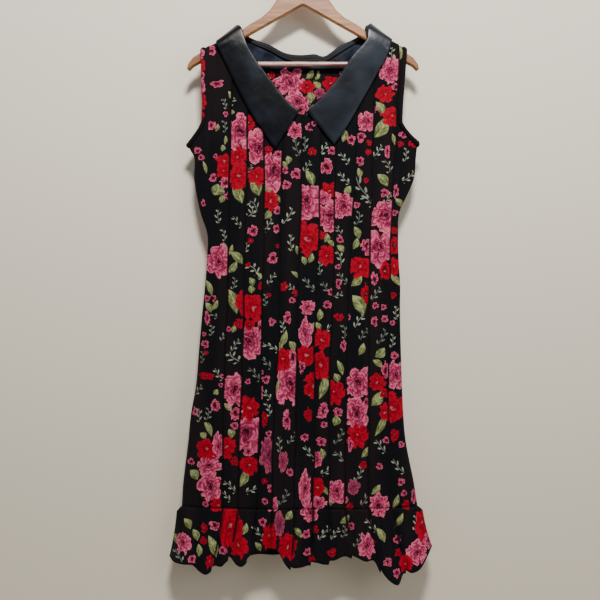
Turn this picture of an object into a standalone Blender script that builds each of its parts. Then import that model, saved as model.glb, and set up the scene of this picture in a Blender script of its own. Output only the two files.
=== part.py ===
"""Sleeveless pleated tea dress with a wide collar, on a wooden hanger.

Sizes below are in millimetres and are scaled to metres when the meshes are made.
The origin is the inside top of the hanger hook, +Z is up and the front faces -Y.
"""
import math

import bmesh
import bpy
from mathutils import Vector

WALL = 1.0
SATIN = 1.0
GAP = 0.3

# half outlines, as (height, x) from the underarm down to the flounce seam
LEFT_SIDE = [(-1082, -233.4), (-1036, -230.7), (-960, -221.3), (-910, -216.7), (-845, -205.6),
             (-781, -200.4), (-706, -193.7), (-657, -188.5), (-611, -185.5), (-561, -184.1),
             (-517, -197.6), (-482, -205.2), (-451, -209.8), (-411, -209.5), (-396, -217.5), (-385, -222.9)]
RIGHT_SIDE = [(-1082, 220.6), (-1036, 213.5), (-960, 198.5), (-910, 193.7), (-845, 190.8),
              (-781, 188.7), (-706, 187.0), (-657, 187.6), (-611, 184.7), (-561, 183.4),
              (-517, 185.6), (-482, 201.4), (-451, 213.9), (-411, 217.9), (-396, 219.4), (-380, 221.7)]
LEFT_ARMHOLE = [(-344, -193.7), (-310, -193.7), (-267, -192.9), (-203, -195.6)]
RIGHT_ARMHOLE = [(-344, 189.5), (-310, 189.5), (-267, 193.7), (-202, 198.5)]
LEFT_UNDERARM = [(-222.9, -385.0), (-210.0, -369.5)]
RIGHT_UNDERARM = [(221.7, -380.4), (206.0, -367.0)]
ARMHOLE_FOOT = -344.0
SHOULDER = [(-196.5, -203.5), (-166, -188.0), (-124, -161.0), (126, -159.0), (170, -184.5), (199.5, -202.6)]
FRONT_NECK = [(-121, -186), (-111, -205), (-94, -233), (-66, -271), (-35, -311), (-8, -331), (10, -332),
              (49, -295), (73, -265), (98, -227), (116, -204), (121, -196)]
BACK_NECK = [(-118, -186), (-94, -190.5), (-66, -204), (-39, -220), (-18, -227), (0, -228), (23, -227),
             (43, -228), (58, -219), (80, -206), (102, -191), (118, -185)]

# pleat fold lines, x at each of the heights
PLEAT_HEIGHTS = [-1082, -935, -780, -570, -400, -200]
PLEATS = [[-156, -153, -149, -143, -140, -136], [-124, -121, -116, -111, -108, -104],
          [-88, -84, -79, -76, -74, -70], [-61, -57, -48, -44, -39, -35], [-17, -14, -13, -6, -3, 1],
          [19, 21, 22, 29, 33, 37], [47, 50, 52, 60, 62, 67], [78, 81, 82, 92, 101, 106],
          [124, 125, 126, 128, 134, 139], [168, 165, 165, 169, 178, 184]]
PLEAT_DEPTH = 11.0
LAYER = WALL + GAP
TURN = LAYER / 2
FACE_DROP = 3.48

LOWER_ROWS = [-396, -412, -455, -515, -562, -655, -780, -910, -1000, -1082]
FRONT_DEPTH = [(-1082, 33), (-910, 28), (-750, 23), (-562, 18), (-400, 17), (-200, 17)]
BACK_DEPTH = [(-1082, 30), (-910, 25), (-750, 20), (-562, 16), (-400, 15), (-200, 14)]
SHOULDER_HALF = [(-344, 6), (-255, 13), (-150, 13)]
BACK_SEAM = 6.0

# flounce hem, as (x, y from the front of the hem, height)
FRONT_HEM = [(-257, 40, -1178), (-246, 20, -1184), (-228, 6, -1186), (-210, 12, -1190), (-196, 2, -1197),
             (-182, -4, -1199), (-168, 8, -1190), (-154, 4, -1187), (-140, 14, -1175), (-126, 2, -1184),
             (-114, 0, -1184), (-98, 12, -1170), (-80, 16, -1163), (-62, 12, -1160), (-46, 6, -1163),
             (-34, -4, -1179), (-20, -6, -1190), (-4, 2, -1189), (10, 12, -1185), (26, 4, -1182),
             (42, -2, -1180), (60, 6, -1178), (80, 12, -1169), (100, 4, -1173), (118, 0, -1178),
             (134, 10, -1177), (146, 2, -1196), (160, -8, -1211), (178, -8, -1218), (190, 8, -1199),
             (204, 0, -1200), (220, 4, -1193), (234, 16, -1176), (248, 38, -1158)]
BACK_HEM = [(-257, -3, -1178), (-240, 18, -1184), (-214, 30, -1190), (-190, 14, -1182), (-164, 32, -1192),
            (-140, 16, -1184), (-112, 34, -1190), (-86, 18, -1182), (-58, 34, -1188), (-30, 16, -1181),
            (0, 34, -1190), (28, 18, -1182), (56, 36, -1191), (84, 18, -1183), (112, 34, -1190),
            (140, 16, -1182), (168, 32, -1190), (192, 14, -1184), (216, 28, -1188), (236, 14, -1176),
            (248, 0, -1158)]
FLOUNCE_ROWS = [0.0, 0.12, 0.45, 1.0]
FLOUNCE_FRONT_Y = -46.0
FLOUNCE_TOP = -1082.4

# collar stations from the left point round the neck to the right point, each the neck seam, the roll
# and the outer edge; a height of None takes its depth from the panel under it
COLLAR = [
    ((-9, -327.5), (-7, -325), (-53, -397), None),
    ((-33, -307.5), (-31, -306), (-80, -359), None),
    ((-64, -268), (-62, -266), (-110, -310), None),
    ((-92, -229.5), (-90, -228), (-136, -259), None),
    ((-109, -200), (-107, -199), (-156, -218), None),
    ((-116, -179), (-115.5, -174), (-164, -204), -16.3),
    ((-117, -169), (-119.5, -163), (-166.5, -192.4), -13.6),
    ((-118, -162.5), (-124.5, -157.5), (-166.3, -187.2), -7.0),
    ((-119.5, -159.8), (-128.5, -155.9), (-166, -185.8), 0.0),
    ((-118, -162.5), (-124.5, -157.5), (-166.3, -187.2), 7.0),
    ((-116, -173), (-118, -165), (-166.5, -192.4), 13.6),
    ((-107, -181), (-109, -172), (-162, -212), None),
    ((-93, -189), (-94, -180), (-140, -242), None),
    ((-66, -200.5), (-66, -190), (-98, -265), None),
    ((-39, -215.5), (-39, -204), (-55, -279), None),
    ((-18, -222.5), (-18, -209), (-24, -285), None),
    ((3, -223.5), (3, -209.5), (3, -286), None),
    ((23, -222.5), (23, -208), (28, -285), None),
    ((43, -222), (43, -211.5), (56, -278), None),
    ((72, -204.5), (72, -192), (100, -263), None),
    ((99, -188), (100, -178.5), (142, -240), None),
    ((111, -181), (113, -170), (166, -209), None),
    ((119, -171), (122, -163), (170.5, -189.4), 13.6),
    ((120, -160.5), (127.5, -155.5), (170.3, -183.7), 7.0),
    ((121, -157.8), (132, -153), (170, -182.3), 0.0),
    ((120, -160.5), (128, -155.5), (170.3, -183.7), -7.0),
    ((120.5, -170), (125.6, -163), (170.5, -189.4), -13.6),
    ((123, -180.5), (124.5, -175), (167, -203), -16.3),
    ((122.5, -191.5), (121, -190), (161, -218), None),
    ((96, -222.5), (94, -221), (145, -248), None),
    ((71, -262), (69, -260), (118, -296), None),
    ((47, -291.5), (45, -290), (85, -353), None),
    ((11, -329.5), (9, -327), (59.5, -389), None)]
BACK_STATIONS = range(10, 23)
COLLAR_OUT_FRONT = (1.4, 1.4, 2.5, 3.6, 4.2, 4.0, 3.4)
COLLAR_OUT_BACK = (0.0, 0.0, 1.1, 2.2, 2.8, 2.6, 2.2)

BINDING_WIDTH = 6.5

# hanger outline, right half from the crown to the tip and back along the lower edge
HANGER_HALF = [(9, -62), (20, -66), (36, -82), (47, -102), (53.5, -112), (64.2, -127.3), (80.2, -141.5),
               (102.4, -154), (124, -169.0), (166, -194.0), (199, -210.0), (212, -218), (221.5, -231),
               (223.5, -240), (219, -243.5), (211, -235.4)]
HANGER_APEX = (2.0, -117.7)
HANGER_SLOPE = 0.563
HANGER_HALF_THICK = 6.5
HANGER_ROUND = 2.6
BAR_Z = -229.9
BAR_RADIUS = 4.5
HOOK_RADIUS = 21.0
WIRE_RADIUS = 2.0
CROWN_Z = -62.0

PRINT_BLACK = (0.012, 0.012, 0.016)
SATIN_BLACK = (0.006, 0.008, 0.012)
WOOD = (0.50, 0.27, 0.14)
BAR_WOOD = (0.35, 0.17, 0.12)
METAL = (0.62, 0.62, 0.60)


def table(pairs, at):
    """Straight-line reading of a table of (key, value) pairs sorted by key."""
    if at <= pairs[0][0]:
        return pairs[0][1]
    for (a, b), (c, d) in zip(pairs, pairs[1:]):
        if at <= c:
            return b + (d - b) * (at - a) / (c - a)
    return pairs[-1][1]


def mix(a, b, t):
    return tuple(p + (q - p) * t for p, q in zip(a, b))


def material(name, colour, roughness, metallic=0.0):
    made = bpy.data.materials.new(name)
    made.use_nodes = True
    shader = made.node_tree.nodes["Principled BSDF"]
    shader.inputs["Base Color"].default_value = (*colour, 1.0)
    shader.inputs["Roughness"].default_value = roughness
    shader.inputs["Metallic"].default_value = metallic
    made.diffuse_color = (*colour, 1.0)
    return made


def solid(name, points, faces, finish):
    """One closed body from points in millimetres."""
    mesh = bpy.data.meshes.new(name)
    mesh.from_pydata([tuple(c * 0.001 for c in p) for p in points], [], faces)
    work = bmesh.new()
    work.from_mesh(mesh)
    bmesh.ops.recalc_face_normals(work, faces=work.faces)
    if work.calc_volume(signed=True) < 0:
        bmesh.ops.reverse_faces(work, faces=work.faces)
    bmesh.ops.triangulate(work, faces=work.faces)
    work.to_mesh(mesh)
    work.free()
    made = bpy.data.objects.new(name, mesh)
    mesh.materials.append(finish)
    bpy.context.collection.objects.link(made)
    return made


def cloth(name, grid, wall, finish, closed=False):
    """A wall of even thickness about a grid of middle points; a cell with a None corner is left open."""
    columns = len(grid)
    rows = len(grid[0])
    cells = []
    for i in range(columns if closed else columns - 1):
        for j in range(rows - 1):
            ring = [(i, j), ((i + 1) % columns, j), ((i + 1) % columns, j + 1), (i, j + 1)]
            if all(grid[a][b] is not None for a, b in ring):
                cells.append(ring)
    normals = {}
    for ring in cells:
        a, b, c, d = (Vector(grid[i][j]) for i, j in ring)
        normal = (c - a).cross(d - b).normalized()
        for key in ring:
            normals.setdefault(key, []).append(normal)
    keys = sorted(normals)
    place = {key: n for n, key in enumerate(keys)}
    outer = []
    inner = []
    for key in keys:
        middle = Vector(grid[key[0]][key[1]])
        total = sum(normals[key], Vector()).normalized()
        lean = sum(total.dot(n) for n in normals[key]) / len(normals[key])
        step = total * (wall / 2 / max(lean, 0.62))
        outer.append(middle + step)
        inner.append(middle - step)
    count = len(keys)
    faces = []
    edges = {}
    for ring in cells:
        faces.append([place[key] for key in ring])
        faces.append([place[key] + count for key in reversed(ring)])
        for a, b in zip(ring, ring[1:] + ring[:1]):
            edges.setdefault(frozenset((a, b)), []).append((a, b))
    for uses in edges.values():
        if len(uses) == 1:
            a, b = uses[0]
            faces.append([place[b], place[a], place[a] + count, place[b] + count])
    return solid(name, outer + inner, faces, finish)


def side_x(z, hand):
    """Outline of the body below the underarm, or the full chest above it."""
    return table(LEFT_SIDE if hand < 0 else RIGHT_SIDE, z)


def depth_y(x, z, face):
    """Middle of the cloth's outermost layer, front (-1) or back (+1)."""
    deep = table(FRONT_DEPTH if face < 0 else BACK_DEPTH, z)
    part = min(abs(x / side_x(z, x)), 1.0)
    body = 0.65 + (deep - 0.65) * (1 - part ** 2.6) ** 0.7
    if z > -396:
        body = max(body, table(SHOULDER_HALF, z) if z > ARMHOLE_FOOT else 0.0)
    return face * body


def pleat_lines(z):
    """Fold lines at a height, the last kept clear of the armhole binding."""
    lines = [table(list(zip(PLEAT_HEIGHTS, line)), z) for line in PLEATS]
    if z > -396:
        lines[-1] = min(lines[-1], table(RIGHT_ARMHOLE, z) - 9.5)
    return lines


def front_section(z):
    """Columns of the pleated front at a height, as (x, depth below the outermost layer)."""
    left = side_x(z, -1)
    right = side_x(z, 1)
    step = max(table([(-570, -187), (-400, -183), (-200, -180)], z), left + 12)
    drop = table([(-560, 0.0), (-450, 1.6)], z)
    if z >= ARMHOLE_FOOT:
        edge = table(LEFT_ARMHOLE, z)
        far = table(RIGHT_ARMHOLE, z)
    else:
        edge = left + 0.55 * (step - left)
        far = 0
    inset = min(BINDING_WIDTH, (step - 1.2 - edge) * 0.6)
    columns = [(left, 0.0), ((left + edge) / 2, 0.0), (edge, 0.0), (edge + inset, 0.0), (step - 1.2, 0.0),
               (step + 0.4, drop)]
    start = step
    at = drop
    for line in pleat_lines(z):
        for share in (0.34, 0.67):
            x = start + share * (line - start)
            columns.append((x, at * (line - x) / (line - start)))
        columns.append((line - TURN, 0.0))
        columns.append((line, TURN))
        columns.append((line - TURN, LAYER))
        columns.append((line - PLEAT_DEPTH + TURN, 2.18))
        columns.append((line - PLEAT_DEPTH, 2.18 + TURN))
        columns.append((line - PLEAT_DEPTH + TURN, FACE_DROP))
        start = line
        at = FACE_DROP * 0.76
    if z < ARMHOLE_FOOT:
        far = start + 0.5 * (right - start)
    columns.append((start + 1.6, 2.66))
    if z < ARMHOLE_FOOT:
        columns.append((far - (far - start) * 0.62, 2.3))
        columns.append((far, 1.6))
    else:
        columns.append((far - BINDING_WIDTH, table([(ARMHOLE_FOOT, 2.3), (-250, 1.0)], z)))
        columns.append((far, table([(ARMHOLE_FOOT, 2.0), (-250, 0.2)], z)))
    columns.append(((far + right) / 2, 0.7))
    columns.append((right, 0.0))
    return columns


def front_grid():
    """Middle points of the front panel, columns left to right and rows top to bottom."""
    below = [front_section(z) for z in LOWER_ROWS]
    foot = front_section(ARMHOLE_FOOT)
    count = len(foot)
    grid = []
    for i in range(count):
        column = []
        left_out = i < 2
        right_out = i > count - 3
        if left_out or right_out:
            x, z = LEFT_UNDERARM[i] if left_out else RIGHT_UNDERARM[count - 1 - i]
            column = [None] * 5 + [(x, depth_y(x, z, -1) if i in (1, count - 2) else -0.65, z)]
        else:
            x0 = front_section(-200)[i][0]
            on_shoulder = abs(x0) >= 121
            top = table(SHOULDER if on_shoulder else FRONT_NECK, x0)
            fall = top - ARMHOLE_FOOT
            if on_shoulder:
                rows = [(top, -0.3, 90), (top - 1.0, -6.0, 66), (top - 5.5, -11.0, 30), (top - 22, None, 0),
                        (top - 22 - 0.45 * (fall - 22), None, 0), (ARMHOLE_FOOT, None, 0)]
            else:
                rows = [None, None, None, (top, None, 0), (top - 0.45 * fall, None, 0), (ARMHOLE_FOOT, None, 0)]
            for row in rows:
                if row is None:
                    column.append(None)
                    continue
                z, y, angle = row
                x, level = front_section(min(z, -203))[i]
                if y is None:
                    y = depth_y(x, z, -1)
                turn = math.radians(angle)
                slope = (table(SHOULDER, x + 2) - table(SHOULDER, x - 2)) / 4
                sink = level * math.sin(turn) / math.hypot(slope, 1.0)
                column.append((x + sink * slope, y + level * math.cos(turn), z - sink))
        for z, section in zip(LOWER_ROWS, below):
            x, level = section[i]
            column.append((x, depth_y(x, z, -1) + level, z))
        grid.append(column)
    return grid


def back_grid(hand):
    """Middle points of one half of the back, from the side seam to the centre-back seam."""
    arm = LEFT_ARMHOLE if hand < 0 else RIGHT_ARMHOLE
    under = LEFT_UNDERARM if hand < 0 else RIGHT_UNDERARM
    seam = BACK_SEAM + hand * GAP / 2
    shares = [0.0, None, 0.18, 0.36, 0.44, 0.55, 0.68, 0.84, 1.0]
    grid = [[None] * 5 + [(under[0][0], 0.65, under[0][1])],
            [None] * 5 + [(under[1][0], depth_y(*under[1], 1), under[1][1])]]
    for number, share in enumerate(shares):
        edge = table(arm, -203)
        x = edge - hand * BINDING_WIDTH if share is None else edge + share * (seam - edge)
        on_shoulder = number <= 3
        top = table(SHOULDER if on_shoulder else BACK_NECK, x)
        fall = top - ARMHOLE_FOOT
        rows = [(top, 0.3), (top - 1.0, 6.0), (top - 5.5, 10.5), (top - 22, None)]
        if not on_shoulder:
            rows = [None, None, None, (top, None)]
        rows.append((top - 22 - 0.45 * (fall - 22) if on_shoulder else top - 0.45 * fall, None))
        rows.append((ARMHOLE_FOOT, None))
        column = []
        for row in rows:
            if row is None:
                column.append(None)
                continue
            z, y = row
            edge = table(arm, z)
            x = edge - hand * BINDING_WIDTH if share is None else edge + share * (seam - edge)
            column.append((x, depth_y(x, z, 1) if y is None else y, z))
        grid.append(column)
    for z in LOWER_ROWS:
        side = side_x(z, hand)
        inner = side + 0.16 * (seam - side)
        grid[0].append((side, 0.65, z))
        grid[1].append((side + 0.04 * (seam - side), depth_y(side + 0.04 * (seam - side), z, 1), z))
        for number, share in enumerate(shares):
            if number == 0:
                x = side + 0.09 * (seam - side)
            elif share is None:
                x = side + 0.13 * (seam - side)
            else:
                x = inner + (share - 0.1) / 0.9 * (seam - inner)
            grid[number + 2].append((x, depth_y(x, z, 1), z))
    return grid


def flounce_grid(hem, face, tops):
    """A gathered strip; its top row lies under the panel's lower edge and its foot follows the hem."""
    grid = []
    for number, (x, y, z) in enumerate(hem):
        share = number / (len(hem) - 1)
        top_x = tops[0] + (tops[1] - tops[0]) * share
        body = depth_y(top_x, -1082, face)
        top_y = body + (0.9 if face < 0 else 0.0) * min(1.0, 8 * share, 8 * (1 - share))
        foot_y = FLOUNCE_FRONT_Y + y if face < 0 else y + 4
        column = []
        for t in FLOUNCE_ROWS:
            swell = t ** 0.8
            column.append((top_x + (x - top_x) * (0.55 * swell + 0.45 * t), top_y + (foot_y - top_y) * swell,
                           FLOUNCE_TOP + (z - FLOUNCE_TOP) * t))
        grid.append(column)
    return grid


def collar_grid():
    """Each station runs from the neck seam, over the roll and out to the collar's edge."""
    grid = []
    for number, (neck, roll, edge, depth) in enumerate(COLLAR):
        face = 1 if number in BACK_STATIONS else -1
        outs = COLLAR_OUT_FRONT if face < 0 and depth is None else COLLAR_OUT_BACK
        way = Vector((edge[0] - roll[0], edge[1] - roll[1])).normalized()
        if face < 0 and depth is None:
            neck = (roll[0] + 4.0 * way.x, roll[1] + 4.0 * way.y)
        leg = Vector((neck[0] - roll[0], neck[1] - roll[1])).normalized()
        inside = (roll[0] + 1.8 * leg.x, roll[1] + 1.8 * leg.y)
        turn = (roll[0] + 1.3 * way.x, roll[1] + 1.3 * way.y)
        column = []
        for point, out in zip((neck, inside, roll, turn, mix(roll, edge, 0.35), mix(roll, edge, 0.7), edge), outs):
            x, z = point
            if depth is None:
                column.append((x, depth_y(x, z, face) + face * out, z))
            else:
                slide = math.copysign(min(1.0, abs(depth) / 13.6), depth)
                column.append((x, depth + (out - outs[-1]) * slide, z))
        grid.append(column)
    return grid


def corner_normal(grid, i, j, face):
    """Outward direction of a panel at one of its points, with the reach of its mitre."""
    found = []
    for a in (i - 1, i):
        for b in (j - 1, j):
            if not (0 <= a < len(grid) - 1 and 0 <= b < len(grid[0]) - 1):
                continue
            ring = [grid[a][b], grid[a + 1][b], grid[a + 1][b + 1], grid[a][b + 1]]
            if any(p is None for p in ring):
                continue
            p, q, r, s = (Vector(c) for c in ring)
            normal = (r - p).cross(s - q).normalized()
            found.append(-normal if normal.dot(Vector((0, face, 1.0))) < 0 else normal)
    total = sum(found, Vector()).normalized()
    return total / max(sum(total.dot(n) for n in found) / len(found), 0.7)


def binding_ring(front, back, hand):
    """A bias strip round an armhole, laid 0.3 mm over the panels' edge points."""
    last = len(front) - 1
    edge, near, mid, tip = (2, 3, 1, 0) if hand < 0 else (last - 2, last - 3, last - 1, last)
    stations = []
    for j in range(5):
        stations.append((front, edge, near, j, j, 1.0, -1))
    stations += [(front, edge, near, 5, 5, 1.0, -1), (front, mid, edge, 5, 6, 0.22, -1), (front, tip, tip, 5, 6, 0.6, -1)]
    edge, near, mid, tip = 2, 3, 1, 0
    stations += [(back, tip, tip, 5, 6, 0.6, 1), (back, mid, edge, 5, 6, 0.22, 1), (back, edge, near, 5, 5, 1.0, 1)]
    for j in (4, 3, 2, 1, 0):
        stations.append((back, edge, near, j, j, 1.0, 1))
    grid = []
    for panel, column, beside, row, below, share, face in stations:
        here = Vector(panel[column][row])
        toward = Vector(panel[beside][below])
        over = here + (toward - here) * share
        inward = (toward - here).normalized()
        lift = WALL + GAP + (0.3 if row < 4 else 0.9)
        out = corner_normal(panel, column, row, face) * lift
        out_over = corner_normal(panel, beside, row, face) * lift if share == 1.0 else out
        grid.append([tuple(over + out_over), tuple(here - inward * 0.3 + out), tuple(here - inward * 1.6)])
    side = Vector(front[last if hand > 0 else 0][5])
    lower = side + (Vector(front[last if hand > 0 else 0][6]) - side) * 0.6
    grid.insert(8, [(lower.x + hand * 2.4, 0.0, lower.z), (side.x + hand * 2.2, 0.0, side.z + 0.6),
                    (side.x + hand * 0.6, 0.0, side.z + 1.9)])
    return grid


def tube(name, path, radius, finish, sides=12, start=None, end=None):
    """A round bar along a path in the plane of the hanger; start and end may slant its ends."""
    points = []
    for k, (x, z) in enumerate(path):
        before = path[max(k - 1, 0)]
        after = path[min(k + 1, len(path) - 1)]
        along = Vector((after[0] - before[0], 0, after[1] - before[1])).normalized()
        across = Vector((along.z, 0, -along.x))
        for s in range(sides):
            angle = 2 * math.pi * s / sides
            point = Vector((x, 0, z)) + across * (radius * math.cos(angle)) + Vector((0, radius * math.sin(angle), 0))
            if k == 0 and start:
                point.x = start(point.z)
            if k == len(path) - 1 and end:
                point.x = end(point.z)
            points.append(point)
    faces = []
    for k in range(len(path) - 1):
        for s in range(sides):
            t = (s + 1) % sides
            faces.append([k * sides + s, k * sides + t, (k + 1) * sides + t, (k + 1) * sides + s])
    faces.append(list(range(sides)))
    faces.append([(len(path) - 1) * sides + s for s in range(sides)])
    return solid(name, points, faces, finish)


def hanger_arms(finish):
    """A flat wooden hanger with softened edges."""
    right = HANGER_HALF
    outline = right + [HANGER_APEX] + [(-HANGER_APEX[0], HANGER_APEX[1])] + [(-x, z) for x, z in reversed(right)]
    count = len(outline)
    inset = []
    for n in range(count):
        before = Vector(outline[n - 1])
        here = Vector(outline[n])
        after = Vector(outline[(n + 1) % count])
        a = (here - before).normalized()
        b = (after - here).normalized()
        side = Vector((a.y + b.y, -a.x - b.x)).normalized()
        lean = max(side.dot(Vector((a.y, -a.x))), 0.55)
        inset.append(here + side * HANGER_ROUND / lean)
    points = []
    half = HANGER_HALF_THICK
    for y, ring in ((-half, inset), (-half + HANGER_ROUND, outline), (half - HANGER_ROUND, outline), (half, inset)):
        points += [(p[0], y, p[1]) for p in ring]
    faces = [list(range(count)), [3 * count + n for n in range(count)]]
    for k in range(3):
        for n in range(count):
            m = (n + 1) % count
            faces.append([k * count + n, k * count + m, (k + 1) * count + m, (k + 1) * count + n])
    return solid("hanger_arms", points, faces, finish)


def hook_path():
    """The wire rises from the crown, goes round a circle under the mount and ends on the left."""
    centre_z = -HOOK_RADIUS + WIRE_RADIUS
    path = [(0.0, CROWN_Z + GAP), (0.0, CROWN_Z + 8), (3.5, CROWN_Z + 16)]
    for k in range(17):
        angle = math.radians(-52 + k * 16)
        path.append((HOOK_RADIUS * math.cos(angle), centre_z + HOOK_RADIUS * math.sin(angle)))
    return path


def arm_foot(z, hand):
    """x of the arms' lower edge at a height, less the gap the bar's end keeps."""
    return hand * (HANGER_APEX[0] + (HANGER_APEX[1] - z) / HANGER_SLOPE - 0.8)


def main():
    for existing in list(bpy.data.objects):
        bpy.data.objects.remove(existing)
    fabric = material("print_cloth", PRINT_BLACK, 0.85)
    satin = material("collar_satin", SATIN_BLACK, 0.35)
    wood = material("hanger_wood", WOOD, 0.4)
    bar = material("bar_wood", BAR_WOOD, 0.4)
    metal = material("hook_wire", METAL, 0.25, 1.0)
    front = front_grid()
    cloth("front", front, WALL, fabric)
    backs = {}
    for hand, name in ((-1, "back_left"), (1, "back_right")):
        backs[hand] = back_grid(hand)
        cloth(name, backs[hand], WALL, fabric)
    tops = (LEFT_SIDE[0][1], RIGHT_SIDE[0][1])
    cloth("flounce_front", flounce_grid(FRONT_HEM, -1, tops), WALL, fabric)
    cloth("flounce_back", flounce_grid(BACK_HEM, 1, tops), WALL, fabric)
    cloth("collar", collar_grid(), SATIN, satin)
    cloth("binding_left", binding_ring(front, backs[-1], -1), WALL, fabric, closed=True)
    cloth("binding_right", binding_ring(front, backs[1], 1), WALL, fabric, closed=True)
    hanger_arms(wood)
    tube("hanger_bar", [(arm_foot(BAR_Z, -1), BAR_Z), (-100, BAR_Z), (0, BAR_Z), (100, BAR_Z),
                        (arm_foot(BAR_Z, 1), BAR_Z)], BAR_RADIUS, bar, 16,
         start=lambda z: arm_foot(z, -1), end=lambda z: arm_foot(z, 1))
    tube("hanger_hook", hook_path(), WIRE_RADIUS, metal)


main()
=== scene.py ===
import bpy
import bmesh
import math
import numpy as np
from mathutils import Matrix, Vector


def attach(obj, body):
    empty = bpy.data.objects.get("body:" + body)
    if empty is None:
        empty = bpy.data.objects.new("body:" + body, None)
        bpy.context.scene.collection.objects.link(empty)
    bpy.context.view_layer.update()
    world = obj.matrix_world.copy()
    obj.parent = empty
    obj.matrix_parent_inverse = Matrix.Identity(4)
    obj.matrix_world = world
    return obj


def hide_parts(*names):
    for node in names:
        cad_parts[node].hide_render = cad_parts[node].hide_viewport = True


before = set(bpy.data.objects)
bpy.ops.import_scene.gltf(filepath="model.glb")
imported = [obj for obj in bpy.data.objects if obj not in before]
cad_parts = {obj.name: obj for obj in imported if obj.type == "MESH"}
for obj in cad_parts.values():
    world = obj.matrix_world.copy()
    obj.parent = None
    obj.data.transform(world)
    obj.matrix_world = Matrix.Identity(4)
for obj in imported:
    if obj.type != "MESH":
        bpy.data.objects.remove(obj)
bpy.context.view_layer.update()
print("frame loaded")

mm = 0.001
underarmZ = -344.0  # where the straight part of the armholes ends
sideZ = -396  # where the side seams take over from the armholes
armRun = underarmZ - sideZ
edgeDepth = 0.65  # half the gap between front and back at the side seams
seamZ = -1082  # the seam between skirt and flounce
topZ = -200  # where the columns of the front are told apart at the shoulders

# outlines, in mm from the hook
bodyCut = {
    "left": [(-1082, -233.4), (-1036, -230.7), (-960, -221.3), (-910, -216.7), (-845, -205.6), (-781, -200.4),
             (-706, -193.7), (-657, -188.5), (-611, -185.5), (-561, -184.1), (-517, -197.6), (-482, -205.2),
             (-451, -209.8), (-411, -209.5), (-396, -217.5), (-385, -222.9)],
    "right": [(-1082, 220.6), (-1036, 213.5), (-960, 198.5), (-910, 193.7), (-845, 190.8), (-781, 188.7),
              (-706, 187.0), (-657, 187.6), (-611, 184.7), (-561, 183.4), (-517, 185.6), (-482, 201.4),
              (-451, 213.9), (-411, 217.9), (-396, 219.4), (-380, 221.7)],
    "leftArm": [(-344, -193.7), (-310, -193.7), (-267, -192.9), (-203, -195.6)],
    "rightArm": [(-344, 189.5), (-310, 189.5), (-267, 193.7), (-202, 198.5)],
    "leftUnder": [(-222.9, -385.0), (-216, -378.5), (-210.0, -369.5), (-201, -358), (-193.7, -344)],
    "rightUnder": [(189.5, -344), (197, -356), (206.0, -367.0), (214, -374.5), (221.7, -380.4)],
    "shoulder": [(-196.5, -203.5), (-166, -188.0), (-124, -161.0), (126, -159.0), (170, -184.5),
                 (199.5, -202.6)],
    "frontNeck": [(-121, -186), (-111, -205), (-94, -233), (-66, -271), (-35, -311), (-8, -331), (10, -332),
                  (49, -295), (73, -265), (98, -227), (116, -204), (121, -196)],
    "backNeck": [(-118, -186), (-94, -190.5), (-66, -204), (-39, -220), (-18, -227), (0, -228), (23, -227),
                 (43, -228), (58, -219), (80, -206), (102, -191), (118, -185)],
    "frontDepth": [(-1082, 33), (-910, 28), (-750, 23), (-562, 18), (-400, 17), (-200, 17)],
    "backDepth": [(-1082, 30), (-910, 25), (-750, 20), (-562, 16), (-400, 15), (-200, 14)],
    "overHanger": [(-344, 6), (-255, 13), (-150, 13)],
    "step": [(-570, -187), (-400, -183), (-200, -180)],  # where the smooth left side goes under the first pleat
}
pleats = {
    "heights": [-1082, -935, -780, -570, -400, -200],
    "lines": [[-156, -153, -149, -143, -140, -136], [-124, -121, -116, -111, -108, -104],
              [-88, -84, -79, -76, -74, -70], [-61, -57, -48, -44, -39, -35], [-17, -14, -13, -6, -3, 1],
              [19, 21, 22, 29, 33, 37], [47, 50, 52, 60, 62, 67], [78, 81, 82, 92, 101, 106],
              [124, 125, 126, 128, 134, 139], [168, 165, 165, 169, 178, 184]],
    # how deep each fold goes under, then how far below the face its layers lie
    "depth": 11.0, "layer": 1.3, "middle": 2.18, "drop": 3.48, "foot": 2.66, "overlap": 1.0,
}


def read(pairs, at):
    if at <= pairs[0][0]:
        return pairs[0][1]
    for (a, b), (c, d) in zip(pairs, pairs[1:]):
        if at <= c:
            return b + (d - b) * (at - a) / (c - a)
    return pairs[-1][1]


def flow(pairs, at):
    # the same reading along a smooth curve
    if at <= pairs[0][0] or at >= pairs[-1][0]:
        return read(pairs, at)
    k = next(n for n in range(len(pairs) - 1) if at <= pairs[n + 1][0])
    (a, b), (c, d) = pairs[k], pairs[k + 1]
    before = pairs[k - 1] if k else pairs[k]
    after = pairs[k + 2] if k + 2 < len(pairs) else pairs[k + 1]
    slopeA = (d - before[1]) / (c - before[0])
    slopeB = (after[1] - b) / (after[0] - a)
    w = c - a
    t = (at - a) / w
    return ((2 * t**3 - 3 * t**2 + 1) * b + (t**3 - 2 * t**2 + t) * w * slopeA
            + (3 * t**2 - 2 * t**3) * d + (t**3 - t**2) * w * slopeB)


def sideX(z, hand):
    return flow(bodyCut["left" if hand < 0 else "right"], z)


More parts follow.
